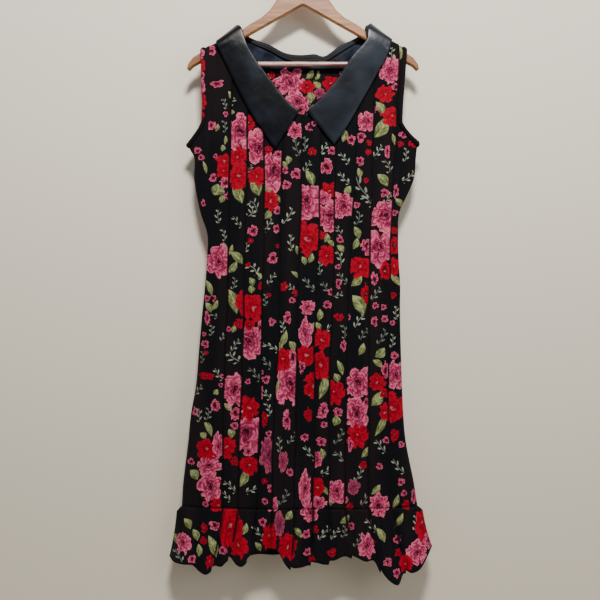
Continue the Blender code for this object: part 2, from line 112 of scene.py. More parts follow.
# soft hollows (-) and ridges (+): x, z, half width, half height, height
creases = {
    "front": [(-205, -520, 26, 60, -2.5), (200, -500, 22, 70, -2.5), (-196, -640, 14, 120, 2.0),
              (-150, -800, 20, 190, 2.2), (-112, -930, 16, 170, -2.0), (-186, -960, 20, 130, 3.0),
              (60, -900, 16, 190, 2.0), (130, -960, 18, 150, -2.4), (178, -760, 16, 160, 2.2),
              (20, -1000, 18, 110, -2.2), (-60, -1010, 16, 110, 2.4), (-170, -440, 34, 16, -1.6),
              (176, -430, 30, 18, -1.6), (196, -980, 16, 120, 2.6), (100, -1020, 14, 100, 2.2),
              (0, -620, 60, 16, -0.8)],
    "back": [(-150, -520, 40, 90, -2.5), (150, -520, 40, 90, -2.5), (-90, -900, 30, 240, 4.0),
             (0, -960, 26, 200, -3.0), (96, -900, 30, 240, 4.0), (-170, -960, 22, 160, 3.0),
             (160, -980, 22, 160, 3.0), (-60, -560, 16, 140, -2.0), (64, -560, 16, 140, -2.0),
             (0, -300, 60, 16, -1.5), (-44, -1000, 20, 140, 3.0), (48, -1000, 20, 140, 3.0),
             (-40, -420, 90, 14, 1.5), (60, -450, 80, 12, 1.5)],
}


def crease(x, z, which):
    total = 0.0
    for cx, cz, rx, rz, high in creases[which]:
        away = ((x - cx) / rx) ** 2 + ((z - cz) / rz) ** 2
        if away < 6:
            total += high * math.exp(-away)
    return total


def depthY(x, z, face):
    # middle of the outermost layer
    deep = flow(bodyCut["frontDepth" if face < 0 else "backDepth"], z)
    part = min(abs(x / sideX(z, x)), 1.0)
    body = edgeDepth + (deep - edgeDepth) * (1 - part ** 2.6) ** 0.7
    if z > sideZ:
        over = read(bodyCut["overHanger"], z) if z > underarmZ else 6.0 * (z - sideZ) / armRun
        body = max(body, over, edgeDepth)
    fade = min(1.0, max(0.0, (1 - part) * 7)) * min(1.0, max(0.0, (-260 - z) / 60))
    return face * (body + crease(x, z, "front" if face < 0 else "back") * fade)


def pleatLines(z):
    found = []
    for k, line in enumerate(pleats["lines"]):
        sway = 0.9 * math.sin(z / 61.0 + 2.1 * k) + 0.7 * math.sin(z / 23.0 + 1.3 * k)
        found.append(flow(list(zip(pleats["heights"], line)), z) + sway)
    if z > sideZ:
        found[-1] = min(found[-1], read(bodyCut["rightArm"], z) - 9.5)
    return found


def splits(a, b, count):
    return [(a[0] + (b[0] - a[0]) * n / count, a[1] + (b[1] - a[1]) * n / count) for n in range(count)]


def frontSection(z):
    # x and depth below the face, left to right, and the strip of print that each column belongs to
    left, right = sideX(z, -1), sideX(z, 1)
    step = max(read(bodyCut["step"], z), left + 12)
    drop = read([(-560, 0.0), (-450, 1.6)], z)
    lower = min(1.0, max(0.0, (underarmZ - z) / armRun))
    edge = read(bodyCut["leftArm"], z) * (1 - lower) + (left + 0.55 * (step - left)) * lower
    inset = min(6.5, (step - 1.2 - edge) * 0.6)
    columns = splits((left, 0.0), (edge, 0.0), 6) + splits((edge, 0.0), (edge + inset, 0.0), 2)
    columns += splits((edge + inset, 0.0), (step - 1.2, 0.0), 2) + [(step - 1.2, 0.0)]
    strips = [0] * len(columns)
    half = pleats["layer"] / 2
    start, at = step + 0.4, drop
    for k, line in enumerate(pleatLines(z)):
        face = splits((start, at), (line - half, 0.0), 12 if k == 0 else 10)
        puff = (0.5 + 0.5 * math.sin(z / 87.0 + 1.9 * k)) * (0.3 if z > -400 else 1.0) * (1 if k else 0.4)
        for x, level in face:
            reach = min(1, max(0, (x - start) / (line - start)))
            columns.append((x, level - 1.1 * puff * math.sin(math.pi * reach) ** 2))
            strips.append(k + 1)
        inner = line - pleats["depth"]
        columns += [(line - half, -0.5), (line, half - 0.5), (line - half, pleats["layer"]),
                    (inner + half, pleats["middle"]), (inner, pleats["middle"] + half)]
        strips += [k + 1, k + 1, -1, -1, -1]
        start, at = line + pleats["overlap"], pleats["foot"]
        columns += splits((inner + half, pleats["drop"]), (start, at), 2)
        strips += [k + 2, k + 2]
    far = read(bodyCut["rightArm"], z) * (1 - lower) + (start + 0.5 * (right - start)) * lower
    near = (far - 6.5) * (1 - lower) + (far - (far - start) * 0.62) * lower
    nearLevel = read([(underarmZ, 2.3), (-250, 1.0)], z)
    farLevel = read([(sideZ, 1.6), (underarmZ, 2.0), (-250, 0.2)], z)
    tail = splits((start, at), (near, nearLevel), 3) + splits((near, nearLevel), (far, farLevel), 2)
    tail += splits((far, farLevel), (right, 0.0), 6) + [(right, 0.0)]
    return columns + tail, strips + [len(pleats["lines"]) + 1] * len(tail)


def linked(name, data):
    made = bpy.data.objects.new(name, data)
    bpy.context.collection.objects.link(made)
    return made


def meshFrom(work, name):
    mesh = bpy.data.meshes.new(name)
    work.to_mesh(mesh)
    work.free()
    return linked(name, mesh)


def dressed(piece, material, slotName, *nodes):
    piece.data.materials.append(material)
    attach(piece, "root")
    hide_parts(*nodes)
    return piece


def sheetOf(name, across, down, place, keep=None):
    # a grid of faces carried onto the form; keep says which faces stay
    work = bmesh.new()
    cut = work.loops.layers.uv.new("cut")
    bmesh.ops.create_grid(work, x_segments=across, y_segments=down, size=1.0, calc_uvs=True)
    strip = work.faces.layers.int.new("strip")
    spot = {v: (round((v.co.x + 1) / 2 * across), round((1 - v.co.y) / 2 * down)) for v in work.verts}
    gone = []
    for f in work.faces:
        i = min(spot[v][0] for v in f.verts)
        j = min(spot[v][1] for v in f.verts)
        f.smooth = True
        f[strip] = i
        for loop in f.loops:
            a, b = spot[loop.vert]
            loop[cut].uv = (a / across, 1 - b / down)
        if keep and not keep(i, j):
            gone.append(f)
    bmesh.ops.delete(work, geom=gone, context="FACES")
    for v in work.verts:
        v.co = Vector(place(*spot[v])) * mm
    return meshFrom(work, name)


def finishSheet(piece, thick, material, slotName, *nodes):
    wall = piece.modifiers.new("wall", "SOLIDIFY")
    wall.thickness = thick * mm
    wall.offset = 0.0
    dressed(piece, material, slotName, *nodes)


# the print. P, R and D are pink, red and dusky flowers, p and r buds, L a leaf and S a sprig, each with
# x and depth below the hook in cm, half width in mm, then if need be half height in mm and tilt in degrees
frontPrint = """
p -17.6 20.8 11, p -16.5 27.1 15 8, L -13.8 29.4 6 8 20, S -13.6 30.8 6 8 -30, L -13.6 32.5 8 4
p -14.8 32.9 6, S -15.0 30.9 6 7 30
p -20.3 39.8 8, p -19.6 41.1 7, L -18.8 43.0 5 10 15, p -19.2 49.9 5 8, r -18.6 53.8 5, P -17.2 61.1 17 31
L -17.9 66.2 8 13 20
p -18.4 68.2 7, p -17.2 68.2 7, L -18.0 69.9 9 9 30, L -16.8 69.6 7 9 -30, p -18.4 72.0 7 15
S -17.3 71.0 7 9, S -17.5 74.3 7, p -19.0 75.1 5
p -18.8 77.0 9, r -18.6 78.7 5, r -18.4 83.1 17 8, S -16.1 82.7 8 9, p -15.4 83.1 5, p -15.7 84.8 5
L -16.6 86.2 8 5, p -16.8 88.7 10 14
p -20.7 90.0 6 9, S -19.9 90.6 7 9, S -18.2 90.4 8, L -18.0 92.9 9 14 25, L -19.0 94.4 10 6, R -18.4 97.0 18
P -16.1 96.4 10 23, P -18.0 100.2 20 19
p -21.5 99.6 8, L -20.7 101.9 14 9 40, P -17.8 104.0 21 26, r -15.5 103.1 6, p -18.6 107.5 7
R -16.3 107.6 13, S -14.8 105.8 7 9, S -20.2 86 7 9, S -19.3 79.5 6 8
p -17.6 35.0 10, L -16.4 35.5 6, S -15.0 35.2 6 8, L -14.8 37.9 5 7, L -15.3 39.4 7 5, R -15.0 41.9 15 14
R -15.1 43.9 14 13, p -16.8 40.9 5
p -17.3 45.1 9, p -14.9 46.1 12, L -16.3 47.5 20 9 -20, L -15.5 49.2 9 6, p -14.4 48.6 8, S -16.2 52.5 8 9
S -15.2 56 6 8
P -12.5 36.1 17 34, R -12.4 41.1 19 18, R -12.1 44.8 23, L -12.3 48.2 15 15 30, L -15.6 59.4 10 8 30
L -14.8 58.6 6 10 20, L -13.8 59.0 6 9 -20, L -12.5 60.3 12 13 45
L -13.4 62.4 10 11 -40, L -13.2 68.7 16 20 20, R -12.1 69.1 15 23, r -12.3 73.1 11, p -14.2 74.1 6
L -13.2 74.1 7 6, S -15.0 75.4 7 8, S -12.9 77.2 8 9, S -13.2 79.4 14 9
P -13.6 85.8 17 31, L -14.2 88.9 9 8, p -12.9 90.2 11 17, p -13.0 92.5 9 8, L -13.6 93.9 11 7 20
R -14.0 96.6 14 21, r -13.0 99.2 10, S -12.6 53.5 7 9, S -13.2 65.4 7 8, S -13.9 104 8 10
r -10.4 34.6 13 16, P -9.2 39.0 18 36, R -8.9 44.8 16, L -8.9 47.0 16 13 30, S -10.4 43.6 6 8
S -9.4 50.4 13 8 50, S -9.9 51.6 12 7 -30, p -9.6 55.3 12, r -10.0 57.2 6
S -11.0 58.6 7 8, r -10.5 61.8 6, S -9.6 62.6 12 9 40, S -8.6 63.6 9 12, L -8.1 63.9 5 9, L -9.7 65.0 9 7 20
L -9.8 66.5 10 6, r -8.1 65.9 5 9, R -9.4 69.9 20 25, r -10.2 73.3 12
P -9.7 76.5 18 32, p -8.2 73.9 6 17, p -10.5 84.1 6, S -9.2 82.6 8 11, R -10.2 89.1 16 20, P -9.9 93.7 18 40
p -10.4 97.4 11 10, R -10.2 100.0 16 17, L -11.1 102.4 12 15 -20, S -9.4 104.4 8 11
r -6.6 39.8 9, p -4.7 40.7 9, P -5.6 44.0 18 36, L -6.6 47.0 13 10 20, R -6.3 49.5 15 18, L -4.7 49.1 6 12
L -6.6 52.2 10 8 -30, p -4.8 51.5 9, S -6.7 54.2 9, p -5.0 54.9 9
r -4.8 58.2 5, p -5.8 60.6 12, r -6.5 67.6 5, S -7.1 68.5 7 8, p -5.9 72.7 8, S -7.3 80.4 8 11
p -7.9 82.3 5, p -7.1 83.7 10, p -8.0 86.2 5 15, S -7.0 86.4 8 9, S -6.2 77.5 7 11
r -7.3 91.1 6 17, p -6.5 93.9 7, D -6.5 97.9 15 32, p -6.1 104.2 9, r -7.3 102.9 6, p -7.2 106.7 7
P -5.9 107.3 11 13, S -6.0 64.5 7 9, S -6.6 89.3 7 9
P -1.5 36.1 14 15, S -1.1 39.3 9 12 10, L -2.7 41.7 9 6, L -3.4 42.6 8 6 30, p -1.3 44.4 12, p -3.5 43.7 8
p -3.2 46.5 10, r -3.8 65.9 10, S -2.5 66.2 8 7, r -1.4 67.2 8
p -2.1 68.6 7, p -2.9 71.9 9 13, S -4.0 73.5 7 8, L -3.6 76.0 9 14 -20, L -4.4 77.6 8, L -1.9 77.2 10 8 30
L -1.3 63.7 6 9, S -2.8 52.5 9 12, S -2.2 57.6 8 11, R -3.6 79.9 15 22, p -1.9 79.5 9 20
P -2.9 84.5 19 41, L -4.7 85.4 8 13, p -3.1 91.4 9 22, S -4.4 96.0 7 10, D -3.8 99.2 8 18, p -2.5 101.2 8 9
S -2.0 94.8 7 9, S -3.6 106 8 11
p 1.2 35.5 9, p 2.1 34.8 6, S 0.4 38.6 8 10, r 1.7 40.2 9, L 1.5 45.1 12 13 25, P 1.3 49.6 18 37
R 0.7 56.8 25 30, L -0.9 59.1 8, L 0.3 61.0 8 7 20, L 1.6 60.6 8 8 -20
P 0.9 69.9 13, P 0.5 74.9 12 26, L 1.8 73.9 8 10, R 0.7 79.1 18, p -0.2 81.3 7 14, R 0.7 84.8 17 24
L 1.9 85.6 6 12, r 1.0 90.4 8 15, p 0.3 94.6 9, P 0.4 104.2 11 32, P 1.3 108.7 15 17
S 1.2 65.5 8 11, S 1.4 97.6 8 12, S 0.8 43.0 8
S 3.8 39.8 9 10, p 5.5 40.0 9, p 4.5 43.0 14 18, R 5.0 47.6 16 15, P 4.0 49.0 12, P 4.6 52.6 16 31
r 3.6 56.1 9, L 4.6 56.7 9 7, L 5.4 57.6 7, R 4.6 60.0 16 18, S 3.3 62.4 8 9
S 4.6 66.2 9 10, p 5.3 67.0 7, p 4.6 69.5 9, S 4.9 74.0 6 12, L 3.3 71.4 9, L 3.0 73.5 8 7, R 3.6 76.1 15 18
R 3.6 81.0 15 26, L 4.0 85.0 12 20 -15, p 3.8 89.6 11 18 -20, p 4.0 92.2 7
p 3.5 95.4 11 10, P 2.6 98.9 9 16, L 3.8 97.7 9 8, R 2.7 104.1 12 18, P 2.9 107.0 13 12, L 4.2 104.6 7 10
L 5.1 106.6 7 8, S 4.6 100.8 8 10
L 8.0 37.1 10, p 9.2 37.9 10, L 8.6 47.5 10 7, S 7.9 45.2 8 10, P 7.4 50.5 14 27, S 6.7 55.1 8, p 7.1 57.0 8
L 7.3 58.6 9 7, S 7.0 60.5 9 10, p 6.7 62.2 6, p 6.8 65.4 6 12
S 6.5 67.6 7 8, r 6.9 71.8 12 8, p 8.6 71.8 7, S 7.9 74.5 8 9, p 7.7 77.3 7 12, L 7.2 81.4 8 12 20
L 6.5 83.3 10 7, R 6.7 86.2 13 24, p 6.7 89.8 10, L 6.4 91.5 12 8, S 6.9 94.5 8 11
P 6.9 104.8 13 24, p 8.0 106.5 7, r 8.6 107.6 10 8, S 7.2 98.5 9 12, S 7.6 64.3 8 9, S 8.0 41.4 8 9
P 12.3 34.4 18, p 11.1 37.3 11, r 12.7 38.4 6, r 12.5 40.2 7, p 10.9 41.9 10, L 10.9 44.2 8
S 11.3 47.0 12 17 30, r 12.1 45.6 6, S 12.3 49.4 9, p 10.3 50.3 7
L 10.5 55.6 10 10 20, L 10.2 57.8 9 9 -20, p 12.1 58.4 11 20, R 11.0 62.2 20 19, L 10.4 64.9 12
r 12.0 67.4 9 22, L 10.9 69.3 18 17 30, S 10.7 72.6 9 10, S 11.7 75.1 9, L 11.3 78.0 9 10
P 10.4 84.4 23 30, P 10.2 90.0 19 31, p 12.1 88.1 8 10, R 11.3 94.4 15 24, L 12.0 97.6 9 10, p 9.0 96.0 6 14
D 9.6 104.0 10 14, r 11.4 99.9 8, S 12.0 106.3 9 11, S 10.6 52.9 9, S 10.6 101.6 8 10
L 18.5 21.4 10 13, S 17.1 21.2 7 8, P 17.3 24.5 14 26, R 15.7 29.0 16, L 15.0 31.7 12 12 30, p 17.8 27.7 9
R 17.1 33.4 18, L 15.2 35.6 18 18 -30, p 13.6 32.0 8, L 17.5 37.7 6 9
S 14.4 40.0 9, p 16.2 40.0 6 15, S 16.3 42.8 9, L 15.5 45.4 13 12, p 15.7 48.0 10, S 16.4 48.9 7 8
P 15.1 52.4 21 32, P 14.9 58.6 20 34, r 15.8 62.9 13 22, p 13.7 64.5 8 14
S 14.0 67.4 8 10, p 13.9 69.6 7, p 15.4 69.9 7, p 13.7 72.6 7 12, p 15.7 72.2 8, L 14.9 78.8 13 10
L 14.4 80.6 9, p 15.8 82.0 8 18, R 14.2 84.3 15, r 15.5 86.4 10, L 14.3 87.6 15 13 -35
R 15.7 90.0 9 16, L 15.0 92.5 10 19, S 14.8 96.4 9 10, p 15.9 95.4 8, L 14.0 104.8 9 10, P 14.9 107.6 16 22
p 14.6 100.3 7 8, S 15.2 75.6 8 11
p 19.2 36.7 9, r 18.8 38.5 7, r 21.1 38.4 9, S 19.8 40.6 7 9, p 17.9 47.6 6 15, S 20.3 44.8 8 10
L 18.6 49.7 9 8, p 17.7 51.7 7, r 17.6 55.1 8, r 17.6 58.2 9 22, R 17.6 62.2 10 16
L 17.9 64.6 9 13, r 17.4 67.6 7, p 17.2 72.9 6, S 18.0 71.0 7 9, S 17.2 76.4 7 9, p 17.6 79.3 9
P 17.7 83.0 14 28, R 17.9 89.2 15 29, r 17.6 94.4 9 14, p 18.9 96.3 7, S 18.3 100.4 8 12
p 18.8 103.4 8, p 19.4 105.6 7, r 19.8 107.8 9 10, L 17.8 107.2 8 12, p 21.3 106.3 6 17
"""
flouncePrint = """
L -21.9 111.2 11 9, L -20.3 113.2 10 9, L -24.4 114.2 10, P -22.8 114.8 13 17, r -18.8 112.0 7 10
r -18.9 114.2 8, L -19.6 116.0 9, L -16.9 115.1 12 17 20, r -17.6 117.8 8 13
p -21.0 117.6 9, S -23.6 117.1 9, p -16.8 111.3 12 10, R -13.8 111.6 19 38, R -12.2 115.0 15 19
L -10.9 111.9 8 9, p -15.2 115.9 9, D -4.4 110.8 9 22, L -2.6 109.4 10 8
p -7.7 110.6 9, S -8.4 112.6 7 12, R -6.3 113.5 13 26, L -8.4 115.2 8, R -2.9 114.9 15 22
R 23.0 111.6 15 28, P 24.0 114.6 9 13, S 21.6 111.2 9, P 21.7 116.3 20, R 19.4 118.3 11 15
p 17.8 114.0 9, r 18.0 116.4 8, p 17.6 119.8 9, p 0.6 112.8 9, p 0.8 116.2 8, r 1.6 117.4 8, r 2.3 112.0 8
r 5.4 116.2 10, S 6.1 112.8 7 9, S 7.8 112.4 7 8
p 9.1 111.3 8, P 12.1 115.0 14 22, S 12.9 111.2 8 10, L 8.0 110.2 9, L -0.9 112.4 8 10, S 4.0 112.6 8 11
L 14.9 113.0 10 12 30, p 15.9 117.8 9 10, S 10.4 114.0 7 9, L 18.4 110.6 8 12
"""
neckPrint = """
P -2.7 26.2 27, r -6.1 24.8 8, p -5.8 26.3 8, P -1.0 29.9 20 18, R 0.9 27.1 13 12, L 1.4 24.8 9
L 2.7 25.0 9, L 2.9 26.7 9 8, L 1.6 29.0 11 10, D 3.2 28.4 10, p -0.4 31.5 13 11, S 1.4 31.4 9
S -7.6 26.0 8 12, L -4.6 29.4 10 8, R 5.4 26.4 14, L 6.8 28.0 12 9, P -9.8 26.4 18 22, S 4.0 30.8 8 9
P 8.8 25.4 16 18
"""
kindCode = {"P": 1, "R": 2, "D": 3, "p": 1, "r": 2, "L": 1, "S": 2}
layerOf = {"P": "bloom", "R": "bloom", "D": "bloom", "p": "bud", "r": "bud", "L": "leaf", "S": "leaf"}
growth = {"S": (1.15, 1.45, 2.2), "L": (0.95, 1.3, 1.8)}  # how leaves are drawn wider and taller, and lean


def mirrored(chart):
    return [dict(item, x=-item["x"], tilt=-item["tilt"]) for item in chart]


def readChart(text, cut=True):
    # with cut, a tall flower is a wider one that the folds cut down
    chart = []
    for entry in text.replace("\n", ",").split(","):
        if not entry:
            continue
        kind, *numbers = entry.split()
        x, z, rx = [float(n) for n in numbers[:3]]
        rz = float(numbers[3]) if len(numbers) > 3 else rx
        tilt = math.radians(float(numbers[4])) if len(numbers) > 4 else 0.0
        x, z, seed = x * 10, z * -10, (x * 7.3 + z * 3.1) % 1.0
        item = {"kind": kind, "seed": seed, "stripX": x, "x": x, "z": z, "tilt": tilt}
        if kind in growth:
            wider, taller, lean = growth[kind]
            item["rx"], item["rz"] = rx * wider, rz * taller
            item["tilt"] = tilt or (seed - 0.5) * lean
        elif kind in "PR" and rx >= 13 and rz > 1.25 * rx and cut:
            item["x"] += (seed - 0.5) * 1.7 * rx
            item["rx"], item["rz"] = 0.92 * rz, 1.12 * rz
        elif kind in "PRD":
            item["rx"], item["rz"] = 1.24 * rx, 1.18 * rz
        else:
            item["rx"], item["rz"] = 0.9 * rx, 0.9 * rz
        chart.append(item)
    return sorted(chart, key=lambda item: item["rx"] * item["rz"])


def stripAt(x, z):
    return 0 if x < read(bodyCut["step"], z) else 1 + sum(1 for line in pleatLines(z) if x > line)


stepEnds = -540  # below here the smooth left side and the first pleat are one strip


def stamp(piece, chart, stripOf=None):
    # each face keeps the flowers and leaves that cross it, as places within them
    mesh = piece.data
    count = len(mesh.loops)
    co = np.zeros(len(mesh.vertices) * 3, np.float32)
    mesh.vertices.foreach_get("co", co)
    co = co.reshape(-1, 3) / mm
    loopVert = np.zeros(count, np.int32)
    mesh.loops.foreach_get("vertex_index", loopVert)
    loopFace = np.repeat(np.arange(len(mesh.polygons)), [p.loop_total for p in mesh.polygons])
    spot = co[loopVert][:, [0, 2]]
    middle = np.stack([np.bincount(loopFace, spot[:, k]) / np.bincount(loopFace) for k in (0, 1)], 1)
    reach = np.zeros(len(middle))
    np.maximum.at(reach, loopFace, np.linalg.norm(spot - middle[loopFace], axis=1))
    strips = np.array([stripOf(p) for p in mesh.polygons]) if stripOf else None
    names = ["bloomA", "bloomB", "bloomC", "budA", "leafA", "leafB"]  # one flower to a face in each
    fields = {name: np.zeros((count, 3), np.float32) for name in names}
    taken = {name: np.zeros(len(middle), bool) for name in names}
    for item in chart:
        along = middle - (item["x"], item["z"])
        c, s = math.cos(item["tilt"]), math.sin(item["tilt"])
        across = (along[:, 0] * c + along[:, 1] * s) / item["rx"]
        up = (-along[:, 0] * s + along[:, 1] * c) / item["rz"]
        near = np.hypot(across, up) < 1.15 + reach / min(item["rx"], item["rz"])
        if strips is not None:
            at = stripAt(item["stripX"], item["z"])
            near &= strips <= 1 if at <= 1 and item["z"] < stepEnds else strips == at
        if not near.any():
            continue
        choices = [n for n in names if n.startswith(layerOf[item["kind"]])]
        name = next((n for n in choices if not (taken[n] & near).any()), choices[-1])
        near &= ~taken[name]
        taken[name] |= near
        mine = near[loopFace]
        here = spot[mine] - (item["x"], item["z"])
        fields[name][mine, 0] = (here[:, 0] * c + here[:, 1] * s) / item["rx"]
        fields[name][mine, 1] = (-here[:, 0] * s + here[:, 1] * c) / item["rz"]
        fields[name][mine, 2] = kindCode[item["kind"]] + 0.02 + 0.9 * item["seed"]
    for name in names:
        held = mesh.attributes.new(name, "FLOAT_VECTOR", "CORNER")
        held.data.foreach_set("vector", fields[name].ravel())


# finishes
def newFinish(name):
    made = bpy.data.materials.new(name)
    made.use_nodes = True
    return made, made.node_tree, made.node_tree.nodes["Principled BSDF"]


def feed(tree, socket, value):
    if isinstance(value, bpy.types.NodeSocket):
        tree.links.new(value, socket)
    else:
        socket.default_value = value


def maths(tree, kind, *given):
    node = tree.nodes.new("ShaderNodeMath")
    node.operation = kind
    for socket, value in zip(node.inputs, given):
        feed(tree, socket, value)
    return node.outputs[0]


def plus(tree, a, b):
    return maths(tree, "ADD", a, b)


def less(tree, a, b):
    return maths(tree, "SUBTRACT", a, b)


def times(tree, a, b):
    return maths(tree, "MULTIPLY", a, b)


def scaled(tree, a, by, add):
    return maths(tree, "MULTIPLY_ADD", a, by, add)


def plain(tree, a):
    # its size, without the sign
    return maths(tree, "ABSOLUTE", a)


def ramp(tree, value, low, high, start=0.0, end=1.0, smooth=True):
    node = tree.nodes.new("ShaderNodeMapRange")
    node.interpolation_type = "SMOOTHSTEP" if smooth else "LINEAR"
    for socket, given in zip(node.inputs[:5], (value, low, high, start, end)):
        feed(tree, socket, given)
    return node.outputs[0]


def blendColour(tree, share, a, b):
    node = tree.nodes.new("ShaderNodeMix")
    node.data_type = "RGBA"
    feed(tree, node.inputs[0], share)
    feed(tree, node.inputs[6], a)
    feed(tree, node.inputs[7], b)
    return node.outputs[2]


def noiseOf(tree, vector, scale, detail=2.0, rough=0.5):
    node = tree.nodes.new("ShaderNodeTexNoise")
    feed(tree, node.inputs["Vector"], vector)
    node.inputs["Scale"].default_value = scale
    node.inputs["Detail"].default_value = detail
    node.inputs["Roughness"].default_value = rough
    return node.outputs[0]


def join3(tree, x, y, z):
    node = tree.nodes.new("ShaderNodeCombineXYZ")
    for socket, value in zip(node.inputs, (x, y, z)):
        feed(tree, socket, value)
    return node.outputs[0]


def objectPlace(tree):
    return tree.nodes.new("ShaderNodeTexCoord").outputs["Object"]


def parts(tree, vector):
    node = tree.nodes.new("ShaderNodeSeparateXYZ")
    tree.links.new(vector, node.inputs[0])
    return node.outputs


def cutPlace(tree):
    node = tree.nodes.new("ShaderNodeUVMap")
    node.uv_map = "cut"
    return parts(tree, node.outputs[0])


def stretched(tree, vector, scale):
    node = tree.nodes.new("ShaderNodeMapping")
    node.inputs["Scale"].default_value = scale
    feed(tree, node.inputs["Vector"], vector)
    return node.outputs[0]


def surface(tree, shader, base, height, plan):
    # base colour, the settings that are the same all over, and the relief with its strength and depth in m
    feed(tree, shader.inputs["Base Color"], base)
    for name, value in plan["shader"].items():
        shader.inputs[name].default_value = value
    if height:
        bump = tree.nodes.new("ShaderNodeBump")
        for name, value in zip(("Strength", "Distance"), plan["relief"]):
            bump.inputs[name].default_value = value
        feed(tree, bump.inputs["Height"], height)
        tree.links.new(bump.outputs[0], shader.inputs["Normal"])


def colour(r, g, b):
    # screen colour to light
    return (*[(c / 255 / 12.92 if c <= 10 else ((c / 255 + 0.055) / 1.055) ** 2.4) for c in (r, g, b)], 1.0)


inks = {
    # fold is painted shade, laid along the pleat and flounce folds where the print would lie in shade
    "ground": colour(6, 7, 12), "warmGround": colour(19, 12, 15), "fold": colour(2, 2, 3),
    "pinkLight": colour(214, 106, 136), "pinkMid": colour(134, 30, 66), "pinkDeep": colour(44, 3, 20),
    "redLight": colour(156, 1, 32), "redMid": colour(116, 0, 19), "redDeep": colour(34, 0, 6),
    "heart": colour(190, 100, 104), "dusky": colour(76, 22, 46), "rolledHem": colour(13, 12, 14),
    "leafLight": colour(148, 154, 106), "leafDeep": colour(72, 80, 42), "sprig": colour(146, 154, 138),
    "navy": colour(8, 11, 22), "navyLight": colour(40, 46, 62), "thread": colour(8, 8, 10),
}


def fieldParts(tree, name):
    node = tree.nodes.new("ShaderNodeAttribute")
    node.attribute_name = name
    u, v, code = parts(tree, node.outputs["Vector"])
    return u, v, maths(tree, "FLOOR", code), maths(tree, "FRACT", code)


def drawBloom(tree, under, name, rings, rough=0.9):
    # frilled rings of petals, each with a light rim and a dark foot
    u, v, kind, seed = fieldParts(tree, name)
    shift = times(tree, seed, 37.0)
    wobble = tree.nodes.new("ShaderNodeTexNoise")
    feed(tree, wobble.inputs["Vector"], join3(tree, u, v, shift))
    wobble.inputs["Scale"].default_value = 1.9
    wobble.inputs["Detail"].default_value = 3.0
    drift = parts(tree, wobble.outputs["Color"])
    uu = plus(tree, u, scaled(tree, drift[0], rough, -rough / 2))
    vv = plus(tree, v, scaled(tree, drift[1], rough, -rough / 2))
    around = maths(tree, "ARCTAN2", vv, uu)
    out = maths(tree, "SQRT", plus(tree, times(tree, uu, uu), times(tree, vv, vv)))
    streak = noiseOf(tree, join3(tree, times(tree, around, 4.0), out, shift), 2.2, 3.0, 0.6)
    tone, inside = 0.0, None
    for n, (size, petals) in enumerate(rings):
        phase = scaled(tree, around, petals / 2, times(tree, shift, n + 1.0))
        wave = plain(tree, maths(tree, "SINE", phase))
        rim = scaled(tree, maths(tree, "SQRT", wave), 0.36 * size, 0.70 * size)
        within = ramp(tree, less(tree, rim, out), -0.01, 0.05)
        inside = within if inside is None else inside
        rise = ramp(tree, maths(tree, "DIVIDE", out, rim), 0.40, 1.0, smooth=False)
        local = times(tree, rise, ramp(tree, wave, 0.0, 0.35, 0.35, 1.0))
        local = scaled(tree, less(tree, streak, 0.45), 0.9, local)
        tone = scaled(tree, less(tree, local, tone), within, tone)
    pink = blendColour(tree, ramp(tree, tone, 0.06, 0.6), inks["pinkDeep"], inks["pinkMid"])
    pink = blendColour(tree, ramp(tree, tone, 0.52, 1.1), pink, inks["pinkLight"])
    red = blendColour(tree, ramp(tree, tone, -0.05, 0.35), inks["redDeep"], inks["redMid"])
    red = blendColour(tree, ramp(tree, tone, 0.35, 0.9), red, inks["redLight"])
    red = blendColour(tree, ramp(tree, out, 0.16, 0.05, 0.0, 0.7), red, inks["heart"])
    dim = ramp(tree, kind, 2.4, 2.6)
    both = blendColour(tree, less(tree, ramp(tree, kind, 1.4, 1.6), dim), pink, red)
    both = blendColour(tree, times(tree, dim, 0.5), both, inks["dusky"])
    return blendColour(tree, times(tree, inside, ramp(tree, kind, 0.4, 0.6)), under, both)


